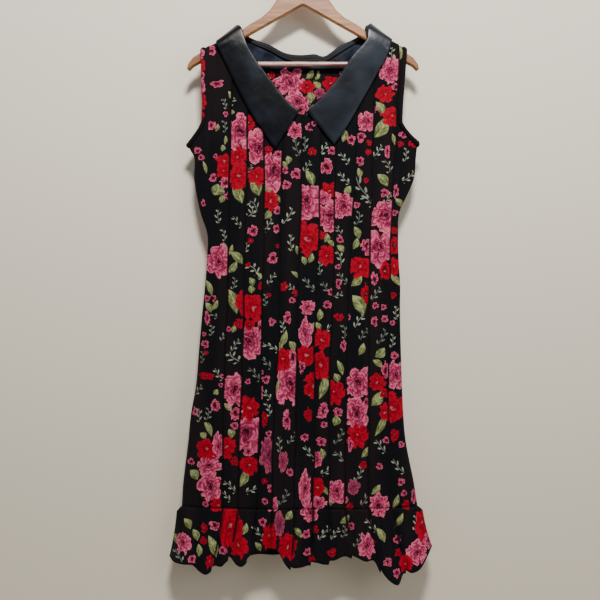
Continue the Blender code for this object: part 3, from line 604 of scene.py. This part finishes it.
def drawLeaf(tree, under, name):
    u, v, kind, seed = fieldParts(tree, name)
    shift = times(tree, seed, 23.0)
    side = scaled(tree, times(tree, v, v), 0.25, u)
    away = plain(tree, side)
    room = less(tree, 1.0, maths(tree, "POWER", plain(tree, v), 1.9))
    full = ramp(tree, less(tree, times(tree, room, 0.74), away), -0.02, 0.08)
    ribs = maths(tree, "SINE", times(tree, scaled(tree, away, -0.9, v), 15.0))
    mottle = noiseOf(tree, join3(tree, u, v, shift), 1.8, 3.0)
    vein = ramp(tree, away, 0.02, 0.10)
    tone = scaled(tree, ribs, 0.07, scaled(tree, vein, -0.25, mottle))
    tone = scaled(tree, v, 0.15, tone)
    green = blendColour(tree, ramp(tree, tone, 0.05, 0.6), inks["leafDeep"], inks["leafLight"])
    # a sprig: a bent stem with small leaves on alternate sides
    stemAt = times(tree, maths(tree, "SINE", scaled(tree, v, 2.2, shift)), 0.2)
    off = less(tree, u, stemAt)
    step = scaled(tree, v, 2.3, seed)
    pair = times(tree, maths(tree, "FLOOR", step), 0.5)
    hand = scaled(tree, maths(tree, "FRACT", pair), 4.0, -1.0)
    up = times(tree, less(tree, maths(tree, "FRACT", step), 0.5), 0.43)
    reach = scaled(tree, times(tree, off, hand), 1.0, -0.42)
    lengthwise = scaled(tree, up, 0.6, times(tree, reach, 0.8))
    crosswise = plain(tree, scaled(tree, up, 0.8, times(tree, reach, -0.6)))
    bulge = less(tree, 1.0, times(tree, times(tree, lengthwise, lengthwise), 7.0))
    leaflet = ramp(tree, less(tree, times(tree, bulge, 0.15), crosswise), 0.0, 0.05)
    stem = ramp(tree, plain(tree, off), 0.09, 0.03, 0.0, 0.7)
    twig = maths(tree, "MAXIMUM", leaflet, stem)
    twig = times(tree, twig, ramp(tree, plain(tree, v), 1.0, 0.94))
    isSprig = ramp(tree, kind, 1.4, 1.6)
    twig = times(tree, twig, scaled(tree, maths(tree, "FRACT", shift), 0.55, 0.4))
    shape = scaled(tree, less(tree, twig, full), isSprig, full)
    shape = times(tree, shape, ramp(tree, kind, 0.4, 0.6))
    return blendColour(tree, shape, under, blendColour(tree, isSprig, green, inks["sprig"]))


clothPlan = {
    "threads": 420.0, "crepe": 900.0, "streaks": (26, 10, 3),
    "facing": (-0.238, -0.234), "facingSide": (0.118, 0.114),  # the neck facing, by height and by side, in m
    "shader": {"Roughness": 0.8, "Specular IOR Level": 0.08, "Sheen Weight": 0.03, "Sheen Roughness": 0.5},
    "relief": (0.35, 0.0004),
}
bloomRings = {  # each ring's size and its petals
    "bloomC": [(0.92, 6), (0.70, 5), (0.46, 5), (0.24, 4)],
    "bloomB": [(0.92, 5), (0.68, 6), (0.44, 5), (0.22, 4)],
    "bloomA": [(0.92, 7), (0.70, 6), (0.45, 5), (0.24, 3)],
}


def threadWave(tree, here, way):
    node = tree.nodes.new("ShaderNodeTexWave")
    feed(tree, node.inputs["Vector"], here)
    node.inputs["Scale"].default_value = clothPlan["threads"]
    node.bands_direction = way
    return node.outputs["Fac"]


def printedCloth(name, hem=None):
    made, tree, shader = newFinish(name)
    here = objectPlace(tree)
    threads = times(tree, threadWave(tree, here, "X"), threadWave(tree, here, "Z"))
    crepe = noiseOf(tree, here, clothPlan["crepe"], 2.0, 0.6)
    streaks = noiseOf(tree, stretched(tree, here, clothPlan["streaks"]), 1.0, 2.0)
    shown = blendColour(tree, ramp(tree, streaks, 0.4, 0.65), inks["ground"], inks["warmGround"])
    x, y, z = parts(tree, here)
    inside = ramp(tree, plain(tree, x), *clothPlan["facingSide"])
    inside = times(tree, ramp(tree, z, *clothPlan["facing"]), inside)
    sheen = ramp(tree, noiseOf(tree, here, 30.0, 2.0), 0.35, 0.7)
    shown = blendColour(tree, inside, shown, blendColour(tree, sheen, inks["navy"], inks["navyLight"]))
    for field in ("leafA", "leafB"):
        shown = drawLeaf(tree, shown, field)
    for field, rings in bloomRings.items():
        shown = drawBloom(tree, shown, field, rings)
    shown = drawBloom(tree, shown, "budA", [(0.95, 3), (0.62, 4)], rough=1.3)
    # painted shade: the fold mark darkens the print towards the fold ink along each fold
    shade = tree.nodes.new("ShaderNodeAttribute")
    shade.attribute_name = "fold"
    shown = blendColour(tree, ramp(tree, shade.outputs["Fac"], 0.45, 0.9, 0.0, 0.95), shown, inks["fold"])
    if hem:
        rolled = ramp(tree, cutPlace(tree)[1], hem * 1.15, hem)
        shown = blendColour(tree, rolled, shown, inks["rolledHem"])
    shown = blendColour(tree, times(tree, threads, 0.22), shown, inks["thread"])
    surface(tree, shader, shown, scaled(tree, crepe, 0.5, threads), clothPlan)
    return made


satinPlan = {
    "dark": colour(3, 5, 11), "light": colour(32, 38, 47), "seam": 0.075, "gloss": (0.3, 0.65),
    "shader": {"Specular IOR Level": 0.2, "Anisotropic": 0.4}, "relief": (0.5, 0.0007),
}


def satinCloth():
    # glossy on the front points, duller round the back of the neck
    made, tree, shader = newFinish("collar satin")
    here = objectPlace(tree)
    x, y, z = parts(tree, here)
    # painted sheen: the satin is lighter towards the right lapel and in patches of noise
    paintedSheen = scaled(tree, ramp(tree, x, -0.02, 0.09), 0.3, noiseOf(tree, here, 16.0, 2.0))
    base = blendColour(tree, ramp(tree, paintedSheen, 0.45, 0.95), satinPlan["dark"], satinPlan["light"])
    feed(tree, shader.inputs["Roughness"], ramp(tree, y, 0.0, 0.004, *satinPlan["gloss"]))
    groove = ramp(tree, plain(tree, less(tree, cutPlace(tree)[1], satinPlan["seam"])), 0.0, 0.022)
    threads = noiseOf(tree, stretched(tree, here, (60, 60, 420)), 3.0, 3.0)
    height = scaled(tree, threads, 0.12, groove)
    height = scaled(tree, noiseOf(tree, here, 34.0, 2.0), 2.2, height)
    surface(tree, shader, base, height, satinPlan)
    return made


woodPlan = {
    "grain": (9, 90, 75),
    "arms": {"light": colour(172, 114, 60), "dark": colour(120, 70, 32), "gloss": 0.38},
    "bar": {"light": colour(212, 168, 160), "dark": colour(132, 82, 78), "gloss": 0.24},
    "shader": {"Coat Weight": 0.35, "Coat Roughness": 0.18}, "relief": (0.2, 0.0003),
}


def woodFinish(name, which):
    made, tree, shader = newFinish(name)
    here = objectPlace(tree)
    light, dark, gloss = woodPlan[which].values()
    grain = noiseOf(tree, stretched(tree, here, woodPlan["grain"]), 2.4, 5.0, 0.62)
    broad = noiseOf(tree, here, 11.0, 2.0)
    tone = blendColour(tree, ramp(tree, grain, 0.32, 0.66), dark, light)
    tone = blendColour(tree, times(tree, broad, 0.35), tone, dark)
    ends = ramp(tree, plain(tree, parts(tree, here)[0]), 0.17, 0.205, 0.0, 0.75)
    shader.inputs["Roughness"].default_value = gloss
    surface(tree, shader, blendColour(tree, ends, tone, dark), grain, woodPlan)
    return made


def wireFinish():
    made, tree, shader = newFinish("hook wire")
    cloudy = noiseOf(tree, objectPlace(tree), 90.0, 2.0)
    tone = blendColour(tree, cloudy, colour(176, 174, 170), colour(205, 203, 198))
    surface(tree, shader, tone, None, {"shader": {"Metallic": 1.0, "Roughness": 0.24}})
    return made


fabric = printedCloth("printed cloth")
hemFabric = printedCloth("printed cloth, rolled hem", hem=0.032)
satin = satinCloth()
print("finishes ready")

# the pleated front
# rows over the hanger, down to the armholes' foot and in all, columns beside an armhole, fall of the rows over
rowPlan = {"over": 6, "upper": 44, "all": 194, "sides": 6, "fall": 22, "thick": 0.6}
frontPlan = {
    "shoulderX": 121, "foldDark": range(-1, 7), "flat": (0.66, 0.92), "area": 0.55,
    # rows over the hanger: how far down, how far forward and how far the cloth has turned
    "over": [(0.0, 0.3, 90), (0.4, 3.0, 80), (1.0, 6.0, 66), (2.8, 8.8, 48), (5.5, 11.0, 30), (12.0, None, 14)],
}


def rowZ(j):
    # height of the rows under the armholes' foot
    return underarmZ + (seamZ - underarmZ) * (j - rowPlan["upper"]) / (rowPlan["all"] - rowPlan["upper"])


sections = {}


def sectionAt(z):
    key = round(z * 4)
    if key not in sections:
        sections[key] = frontSection(key / 4)
    return sections[key][0]


columnStrips = frontSection(-700)[1]
lastColumn = len(columnStrips) - 1
onShoulder = [abs(x) >= frontPlan["shoulderX"] for x, level in sectionAt(topZ)]


def fallZ(j, top, over):
    # rows from a top edge down to the armholes' foot
    if over and j < rowPlan["over"]:
        return top - frontPlan["over"][j][0]
    start = top - rowPlan["fall"] if over else top
    return start + (underarmZ - start) * (j - rowPlan["over"]) / (rowPlan["upper"] - rowPlan["over"])


def alongPairs(pairs, share):
    at = share * (len(pairs) - 1)
    k = min(int(at), len(pairs) - 2)
    t = at - k
    return [a + (b - a) * t for a, b in zip(pairs[k], pairs[k + 1])]


def sidePoint(i, j, hand, face, footX, level):
    # the small part beside an armhole, from the underarm curve down to where the side seam takes over
    curve = bodyCut["leftUnder"] if hand < 0 else bodyCut["rightUnder"][::-1]
    x0, z0 = alongPairs(curve, i / rowPlan["sides"])
    t = (underarmZ - rowZ(j)) / armRun
    x, z = x0 + (footX - x0) * t, z0 + (sideZ - z0) * t
    return x, depthY(x, z, face) + level * t, z


def frontPlace(i, j):
    fromRight = lastColumn - i
    beside = i < rowPlan["sides"] or fromRight < rowPlan["sides"]
    if j >= rowPlan["upper"]:
        z = rowZ(j)
        if beside and z > sideZ:
            x, level = sectionAt(sideZ)[i]
            return sidePoint(min(i, fromRight), j, -1 if i < fromRight else 1, -1, x, level)
        x, level = sectionAt(z)[i]
        return x, depthY(x, z, -1) + level, z
    x0 = sectionAt(topZ)[i][0]
    over = onShoulder[i]
    top = read(bodyCut["shoulder" if over else "frontNeck"], x0)
    z = fallZ(j, top, over)
    x, level = sectionAt(min(z, -203))[i]
    turn, y = 0.0, depthY(x, z, -1)
    if over and j < rowPlan["over"]:
        forward, lean = frontPlan["over"][j][1:]
        turn = math.radians(lean)
        y = -forward if forward else (-11.0 + depthY(x, top - rowPlan["fall"], -1)) / 2 - 0.4
    slope = (read(bodyCut["shoulder"], x + 2) - read(bodyCut["shoulder"], x - 2)) / 4
    sink = level * math.sin(turn) / math.hypot(slope, 1.0)
    return x + sink * slope, y + level * math.cos(turn), z - sink


def frontKeep(i, j):
    if j < rowPlan["upper"] and (i < rowPlan["sides"] or i >= lastColumn - rowPlan["sides"]):
        return False
    return j >= rowPlan["over"] or (onShoulder[i] and onShoulder[i + 1])


front = sheetOf("pleated_front", lastColumn, rowPlan["all"], frontPlace, frontKeep)
# painted shade along each pleat's fold edge: the columns from just before the edge to where the next strip
# shows carry the fold mark
foldEdges = [i for i in range(lastColumn) if columnStrips[i] != -1 and columnStrips[i + 1] == -1]
foldColumns = {i + k for i in foldEdges for k in frontPlan["foldDark"]}
foldShade = front.data.attributes.new("fold", "FLOAT", "CORNER")
cutLayer = front.data.uv_layers["cut"].data
foldShade.data.foreach_set("value", [float(round(c.uv[0] * lastColumn) in foldColumns) for c in cutLayer])
faceStrip = [columnStrips[column.value] for column in front.data.attributes["strip"].data]
stamp(front, readChart(frontPrint), lambda face: faceStrip[face.index])
finishSheet(front, rowPlan["thick"], fabric, "print_cloth", "front")
print("front pleated and printed")

# the two smooth halves of the back
backPlan = {
    "across": 60, "seam": 6.0, "gap": 0.15, "shoulderX": 118, "topZ": -203, "printZ": -335,
    "sideShare": 0.09,  # of the width, below an armhole
    "behind": (0.3, 3.0, 6.0, 8.6, 10.5, 12.4),  # how far back each row over the hanger lies
}


def backPiece(hand, name, node):
    seam = backPlan["seam"] + hand * backPlan["gap"]
    across, sides, upper = backPlan["across"], rowPlan["sides"], rowPlan["upper"]
    arm = bodyCut["leftArm" if hand < 0 else "rightArm"]
    edgeTop = read(arm, backPlan["topZ"])
    tops = [edgeTop + (seam - edgeTop) * (i - sides) / (across - sides) for i in range(across + 1)]
    over = [abs(x) >= backPlan["shoulderX"] for x in tops]

    def lowerX(i, z):
        side = sideX(z, hand)
        first = backPlan["sideShare"]
        share = first * i / sides if i <= sides else first + (1 - first) * (i - sides) / (across - sides)
        straight = side + share * (seam - side)
        if z < sideZ or i < sides:
            return straight
        edge = read(arm, underarmZ)
        armX = edge + (seam - edge) * (i - sides) / (across - sides)
        t = (underarmZ - z) / armRun
        return armX + (straight - armX) * t

    def place(i, j):
        if j >= upper:
            z = rowZ(j)
            if i < sides and z > sideZ:
                return sidePoint(i, j, hand, 1, lowerX(i, sideZ), 0)
            x = lowerX(i, z)
            return x, depthY(x, z, 1), z
        top = read(bodyCut["shoulder" if over[i] else "backNeck"], tops[i])
        z = fallZ(j, top, over[i])
        edge = read(arm, z)
        x = edge + (seam - edge) * (i - sides) / (across - sides)
        if over[i] and j < rowPlan["over"]:
            return x, backPlan["behind"][j], z
        return x, depthY(x, z, 1), z

    def keep(i, j):
        if j < upper and i < sides:
            return False
        return j >= rowPlan["over"] or (over[i] and over[min(i + 1, across)])

    made = sheetOf(name, across, rowPlan["all"], place, keep)
    lower = [item for item in readChart(frontPrint, cut=False) if item["z"] < backPlan["printZ"]]
    stamp(made, readChart(neckPrint, cut=False) + mirrored(lower))
    finishSheet(made, rowPlan["thick"], fabric, "print_cloth", node)


backPiece(-1, "back_left_half", "back_left")
backPiece(1, "back_right_half", "back_right")
print("back laid")

# the gathered flounce, front and back
flouncePlan = {
    "frontHem": [(-257, 40, -1178), (-246, 20, -1184), (-228, 6, -1186), (-210, 12, -1190), (-196, 2, -1197),
                 (-182, -4, -1199), (-168, 8, -1190), (-154, 4, -1187), (-140, 14, -1175), (-126, 2, -1184),
                 (-114, 0, -1184), (-98, 12, -1170), (-80, 16, -1163), (-62, 12, -1160), (-46, 6, -1163),
                 (-34, -4, -1179), (-20, -6, -1190), (-4, 2, -1189), (10, 12, -1185), (26, 4, -1182),
                 (42, -2, -1180), (60, 6, -1178), (80, 12, -1169), (100, 4, -1173), (118, 0, -1178),
                 (134, 10, -1177), (146, 2, -1196), (160, -8, -1211), (178, -8, -1218), (190, 8, -1199),
                 (204, 0, -1200), (220, 4, -1193), (234, 16, -1176), (248, 38, -1158)],
    "backHem": [(-257, -3, -1178), (-240, 18, -1184), (-214, 30, -1190), (-190, 14, -1182), (-164, 32, -1192),
                (-140, 16, -1184), (-112, 34, -1190), (-86, 18, -1182), (-58, 34, -1188), (-30, 16, -1181),
                (0, 34, -1190), (28, 18, -1182), (56, 36, -1191), (84, 18, -1183), (112, 34, -1190),
                (140, 16, -1182), (168, 32, -1190), (192, 14, -1184), (216, 28, -1188), (236, 14, -1176),
                (248, 0, -1158)],
    "frontY": -46.0, "backY": 4, "top": -1082.4, "rows": 18, "across": 300, "flat": (0.56, 0.11),
    "gather": 1.5, "fold": 3.4, "hemStep": 7.0, "endPuff": 9.5,  # mm
    "shadeWide": 6, "printZ": -1068, "behindSeam": 0.9, "ends": 8,  # ends: the share of the width, as 1 over
}
seamLines = pleatLines(seamZ)
seamLeft = sideX(seamZ, -1)
seamWide = sideX(seamZ, 1) - seamLeft


def sincePleat(x):
    # how far along from one pleat line to the next
    before = max((line for line in seamLines if line <= x), default=seamLines[0] - 34)
    after = min((line for line in seamLines if line > x), default=seamLines[-1] + 40)
    return min(1.0, max(0.0, (x - before) / (after - before)))


def shadeFolds(piece):
    # painted shade: each fold line darkens the cloth to its right, from a little above the hem upwards
    shades = {}
    for k, line in enumerate(seamLines):
        column = round((line - seamLeft) / seamWide * flouncePlan["across"])
        for n in range(flouncePlan["shadeWide"]):
            shades[column + n] = 1.0 - 0.1 * n, 0.04 + 0.11 * (k * 5 % 4)
    held = piece.data.attributes.new("fold", "FLOAT", "CORNER")
    values = []
    for corner in piece.data.uv_layers["cut"].data:
        dark, foot = shades.get(round(corner.uv[0] * flouncePlan["across"]), (0.0, 0.0))
        values.append(dark * min(1.0, max(0.0, 5 * (corner.uv[1] - foot))))
    held.data.foreach_set("value", values)


def flouncePiece(name, hemKey, face, node):
    hem, ends = flouncePlan[hemKey], flouncePlan["ends"]
    tracks = [[(n, spot[k]) for n, spot in enumerate(hem)] for k in range(3)]

    def place(i, j):
        share, t = i / flouncePlan["across"], j / flouncePlan["rows"]
        x, y, z = [flow(track, share * (len(hem) - 1)) for track in tracks]
        topX = seamLeft + seamWide * share
        calm = min(1.0, ends * share, ends * (1 - share))
        topY = depthY(topX, seamZ, face) + (flouncePlan["behindSeam"] if face < 0 else 0.0) * calm
        footY = y + flouncePlan["frontY" if face < 0 else "backY"]
        swell = 0.35 * t ** 0.9 + 0.65 * t ** 1.7
        tuck = math.sin(share * 190 + 2.2 * math.sin(share * 31)) * calm * flouncePlan["gather"]
        fold = tuck * math.sin(math.pi * min(1, t * 1.25)) ** 0.7 * (1 - 0.5 * t)
        if face < 0:
            along = sincePleat(topX)
            fold -= flouncePlan["fold"] * along * math.sin(math.pi * min(1.0, 0.15 + 0.7 * t)) * calm
            z -= flouncePlan["hemStep"] * (along - 0.5) * calm
        puff = flouncePlan["endPuff"] * min(1.0, t / 0.1) * (1 - t) ** 1.3
        puff *= max(0.0, ends * share - ends + 1) - max(0.0, 1 - ends * share)
        return (topX + puff + (x - topX) * (0.55 * swell + 0.45 * t), topY + (footY - topY) * swell + fold,
                flouncePlan["top"] + (z - flouncePlan["top"]) * t)

    made = sheetOf(name, flouncePlan["across"], flouncePlan["rows"], place)
    if face < 0:
        shadeFolds(made)
    chart = [item for item in readChart(frontPrint) if item["z"] < flouncePlan["printZ"]]
    chart = readChart(flouncePrint, cut=False) + chart
    stamp(made, chart if face < 0 else mirrored(chart))
    finishSheet(made, rowPlan["thick"], hemFabric, "print_cloth", node)


flouncePiece("front_flounce", "frontHem", -1, "flounce_front")
flouncePiece("back_flounce", "backHem", 1, "flounce_back")
print("flounce gathered")

# the wide satin collar: neck seam, roll and outer edge at each place round the neck, x and z, then the depth
# where it crosses a shoulder
collarPlan = {
    "round": [
        ((-9, -327.5), (-7, -325), (-53, -397), None), ((-33, -307.5), (-31, -306), (-80, -359), None),
        ((-64, -268), (-62, -266), (-110, -310), None), ((-92, -229.5), (-90, -228), (-136, -259), None),
        ((-109, -200), (-107, -199), (-156, -218), None), ((-116, -179), (-115.5, -174), (-164, -204), -16.3),
        ((-117, -169), (-119.5, -163), (-166.5, -192.4), -13.6),
        ((-118, -162.5), (-124.5, -157.5), (-166.3, -187.2), -7.0),
        ((-119.5, -159.8), (-128.5, -155.9), (-166, -185.8), 0.0),
        ((-118, -162.5), (-124.5, -157.5), (-166.3, -187.2), 7.0),
        ((-116, -173), (-118, -165), (-166.5, -192.4), 13.6), ((-107, -181), (-109, -172), (-162, -212), None),
        ((-93, -189), (-94, -180), (-140, -242), None), ((-66, -200.5), (-66, -190), (-98, -265), None),
        ((-39, -215.5), (-39, -204), (-55, -279), None), ((-18, -222.5), (-18, -209), (-24, -285), None),
        ((3, -223.5), (3, -209.5), (3, -286), None), ((23, -222.5), (23, -208), (28, -285), None),
        ((43, -222), (43, -211.5), (56, -278), None), ((72, -204.5), (72, -192), (100, -263), None),
        ((99, -188), (100, -178.5), (142, -240), None), ((111, -181), (113, -170), (166, -209), None),
        ((119, -171), (122, -163), (170.5, -189.4), 13.6),
        ((120, -160.5), (127.5, -155.5), (170.3, -183.7), 7.0),
        ((121, -157.8), (132, -153), (170, -182.3), 0.0),
        ((120, -160.5), (128, -155.5), (170.3, -183.7), -7.0),
        ((120.5, -170), (125.6, -163), (170.5, -189.4), -13.6),
        ((123, -180.5), (124.5, -175), (167, -203), -16.3),
        ((122.5, -191.5), (121, -190), (161, -218), None), ((96, -222.5), (94, -221), (145, -248), None),
        ((71, -262), (69, -260), (118, -296), None), ((47, -291.5), (45, -290), (85, -353), None),
        ((11, -329.5), (9, -327), (59.5, -389), None)],
    "behind": (10, 22),  # the places round the back of the neck
    # how far the seven points across it stand off the cloth below, in mm
    "outFront": (1.4, 1.4, 2.5, 3.6, 4.2, 4.0, 3.4), "outBack": (0.0, 0.0, 1.1, 2.2, 2.8, 2.6, 2.2),
    "along": 8, "across": 4, "lift": 0.3, "thick": 1.0, "shoulderY": 13.6, "flat": (0.95, 0.085),
}


def collarStations():
    # the seven points across at each place, the side of the body it lies on, and whether it lies on cloth
    found = []
    for n, (neck, roll, edge, deep) in enumerate(collarPlan["round"]):
        face = 1 if collarPlan["behind"][0] <= n <= collarPlan["behind"][1] else -1
        outs = collarPlan["outFront" if face < 0 and deep is None else "outBack"]
        way = Vector((edge[0] - roll[0], edge[1] - roll[1])).normalized()
        if face < 0 and deep is None:
            neck = (roll[0] + 4.0 * way.x, roll[1] + 4.0 * way.y)
        leg = Vector((neck[0] - roll[0], neck[1] - roll[1])).normalized()
        shares = [(roll[0] + (edge[0] - roll[0]) * t, roll[1] + (edge[1] - roll[1]) * t) for t in (0.35, 0.7)]
        spots = [neck, (roll[0] + 1.8 * leg.x, roll[1] + 1.8 * leg.y), roll,
                 (roll[0] + 1.3 * way.x, roll[1] + 1.3 * way.y), *shares, edge]
        line = []
        for (x, z), out in zip(spots, outs):
            if deep is None:
                y = depthY(x, z, face) + face * out
            else:
                y = deep + (out - outs[-1]) * math.copysign(min(1.0, abs(deep) / collarPlan["shoulderY"]), deep)
            line.append((x, y, z, out))
        found.append((line, face, deep is None))
    return found


stations = collarStations()
pointsAcross = len(collarPlan["outFront"])
collarTracks = [[[(n, line[c][k]) for n, (line, face, free) in enumerate(stations)] for k in range(4)]
                for c in range(pointsAcross)]


def collarPlace(i, j):
    along = i / collarPlan["along"]
    nearest = min(int(along), len(stations) - 2)
    (line, face, free), (other, otherFace, otherFree) = stations[nearest], stations[nearest + 1]
    across = pointsAcross - 1 - j / collarPlan["across"]
    x, y, z, out = [flow([(c, flow(collarTracks[c][k], along)) for c in range(pointsAcross)], across)
                    for k in range(4)]
    if free and otherFree and face == otherFace:
        y = depthY(x, z, face) + face * out
    t = along - nearest
    both = face * (1 - t) + otherFace * t
    lay = max(0.0, min(1.0, (across - 3) / 3))
    ripple = 0.7 * math.sin(along * 1.9 + across * 0.8) + 0.5 * math.sin(along * 3.7 - across)
    rise = 0.0 if free and otherFree else 0.5
    return x, y + both * (collarPlan["lift"] + lay * max(0.0, ripple)), z + rise


collar = sheetOf("satin_collar", (len(stations) - 1) * collarPlan["along"],
                 (pointsAcross - 1) * collarPlan["across"], collarPlace)
finishSheet(collar, collarPlan["thick"], satin, "collar_satin", "collar")
print("collar rolled")

# narrow bindings round the armholes
bindingPrint = """
P -19.6 21.4 7 9, R -19.4 23.6 7 12, p -19.4 25.6 7 8, P -19.4 27.6 7 12, R -19.4 30.4 8 16
r -19.5 33.2 7 10
"""


def bindingPiece(node):
    work = bmesh.new()
    work.from_mesh(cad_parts[node].data)
    bmesh.ops.remove_doubles(work, verts=work.verts, dist=0.00002)
    bmesh.ops.join_triangles(work, faces=work.faces, angle_face_threshold=0.9, angle_shape_threshold=1.6)
    bmesh.ops.subdivide_edges(work, edges=work.edges, cuts=1, smooth=0.6, use_grid_fill=True)
    for f in work.faces:
        f.smooth = True
    made = meshFrom(work, node + "_strip")
    stamp(made, readChart(bindingPrint))
    dressed(made, fabric, "print_cloth", node)


bindingPiece("binding_left")
bindingPiece("binding_right")
print("bindings laid")


# the hanger
hangerPlan = {
    "bar": -229.9, "barReach": 196.5, "barRadius": 4.5, "barSides": 28, "barStep": 20,
    "wire": 2.0, "wireSides": 20, "hook": 21.0, "endShare": 0.72,  # endShare: how far an end is rounded in
    "hookTurns": range(-52, 205, 8),
    "shank": [(0.0, -61.7), (0.0, -58), (0.0, -54), (0.9, -50), (3.5, -46), (8.2, -41)],
}


def roundBar(name, path, radius, sides, *dress):
    work = bmesh.new()
    rings = []
    for k, (x, z) in enumerate(path):
        before, after = path[max(k - 1, 0)], path[min(k + 1, len(path) - 1)]
        along = Vector((after[0] - before[0], 0, after[1] - before[1])).normalized()
        across = Vector((along.z, 0, -along.x))
        wide = radius * (hangerPlan["endShare"] if k in (0, len(path) - 1) else 1.0)
        ring = []
        for turn in [2 * math.pi * s / sides for s in range(sides)]:
            out = across * wide * math.cos(turn) + Vector((0, wide * math.sin(turn), 0))
            ring.append(work.verts.new((Vector((x, 0, z)) + out) * mm))
        rings.append(ring)
    for ring, other in zip(rings, rings[1:]):
        for s in range(sides):
            t = (s + 1) % sides
            work.faces.new([ring[s], ring[t], other[t], other[s]]).smooth = True
    work.faces.new(rings[0][::-1])
    work.faces.new(rings[-1])
    bmesh.ops.recalc_face_normals(work, faces=work.faces)
    dressed(meshFrom(work, name), *dress)


reach = hangerPlan["barReach"]
places = [-reach, 0.8 - reach, *range(-190, 191, hangerPlan["barStep"]), reach - 0.8, reach]
barPath = [(x, hangerPlan["bar"]) for x in places]
roundBar("trouser_bar", barPath, hangerPlan["barRadius"], hangerPlan["barSides"],
         woodFinish("polished bar wood", "bar"), "bar_wood", "hanger_bar")
bend, wire = hangerPlan["hook"], hangerPlan["wire"]
turns = [math.radians(a) for a in hangerPlan["hookTurns"]]
wirePath = hangerPlan["shank"] + [(bend * math.cos(a), wire - bend + bend * math.sin(a)) for a in turns]
roundBar("wire_hook", wirePath, wire, hangerPlan["wireSides"], wireFinish(), "hook_wire", "hanger_hook")
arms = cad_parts["hanger_arms"]
arms.data.materials.clear()
arms.data.materials.append(woodFinish("hanger wood", "arms"))
print("hanger finished")


# the room
room = {
    "wallY": 0.047, "floorZ": -1.45, "top": 1.6, "front": -3.4, "reach": 3.2, "paintedLightFade": (-1.2, 0.0),
    "wallLow": colour(208, 200, 184), "wallHigh": colour(228, 221, 207), "floor": colour(150, 145, 135),
    "shader": {"Roughness": 0.9, "Specular IOR Level": 0.1},
    "light": (0.90, 0.92, 0.95, 1.0), "lightPower": 0.36,
}
lamps = {  # place, aim, size, power, tint
    "behind": ((-0.5, 2.3, 0.4), (0, 0, -0.6), (1.2, 1.2), 22, (1.0, 0.98, 0.95)),
    "key": ((0.12, -1.7, 1.0), (0, 0, -0.6), (0.42, 0.3), 78, (1.0, 0.97, 0.92)),
    "fill": ((1.9, -2.3, 0.1), (0, 0, -0.7), (1.5, 1.5), 19, (1.0, 0.98, 0.95)),
}
cameraPlan = {"lens": 54.7, "sensor": 36, "place": (-0.00575, -1.76, -0.6854)}


def plainFinish(name, low, high):
    made, tree, shader = newFinish(name)
    # the colour goes from low to high with height; on the wall this is painted light, darker towards the floor
    height = parts(tree, objectPlace(tree))[2]
    surface(tree, shader, blendColour(tree, ramp(tree, height, *room["paintedLightFade"]), low, high), None, room)
    return made


def clearBehind(material):
    # seen through from its back, so that the dress can be looked at from behind
    tree = material.node_tree
    shader = tree.nodes["Principled BSDF"]
    out = next(n for n in tree.nodes if n.type == "OUTPUT_MATERIAL")
    facing = tree.nodes.new("ShaderNodeNewGeometry")
    clear = tree.nodes.new("ShaderNodeBsdfTransparent")
    pick = tree.nodes.new("ShaderNodeMixShader")
    tree.links.new(facing.outputs["Backfacing"], pick.inputs[0])
    tree.links.new(shader.outputs[0], pick.inputs[1])
    tree.links.new(clear.outputs[0], pick.inputs[2])
    tree.links.new(pick.outputs[0], out.inputs["Surface"])


def flatBoard(name, near, far, material):
    # a board as wide as the room, between two edges given as y and z
    reach = room["reach"]
    mesh = bpy.data.meshes.new(name)
    mesh.from_pydata([(-reach, *near), (reach, *near), (reach, *far), (-reach, *far)], [], [(0, 1, 2, 3)])
    mesh.materials.append(material)
    return linked(name, mesh)


def areaLight(name, place, aim, size, power, tint):
    data = bpy.data.lights.new(name, "AREA")
    data.shape = "RECTANGLE"
    data.size, data.size_y = size
    data.energy = power
    data.color = tint
    made = linked(name, data)
    made.location = place
    made.rotation_euler = (Vector(aim) - Vector(place)).to_track_quat("-Z", "Y").to_euler()
    return made


corner = (room["wallY"], room["floorZ"])
# painted light: the wall paint is darker towards the floor and lighter higher up, as under the lamp above
wallPaint = plainFinish("wall paint", room["wallLow"], room["wallHigh"])
clearBehind(wallPaint)
wall = flatBoard("wall", corner, (room["wallY"], room["top"]), wallPaint)
wall.visible_shadow = False
floorPaint = plainFinish("floor", room["floor"], room["floor"])
floor = flatBoard("floor", (room["front"], room["floorZ"]), corner, floorPaint)
lights = [areaLight(name, *lamp) for name, lamp in lamps.items()]
view = bpy.data.cameras.new("camera")
view.lens = cameraPlan["lens"]
view.sensor_width = cameraPlan["sensor"]
camera = linked("camera", view)
camera.location = cameraPlan["place"]
camera.rotation_euler = (math.radians(90), 0, 0)
bpy.context.scene.camera = camera
world = bpy.data.worlds.new("room light")
bpy.context.scene.world = world
world.use_nodes = True
world.node_tree.nodes["Background"].inputs[0].default_value = room["light"]
world.node_tree.nodes["Background"].inputs[1].default_value = room["lightPower"]
print("room lit")
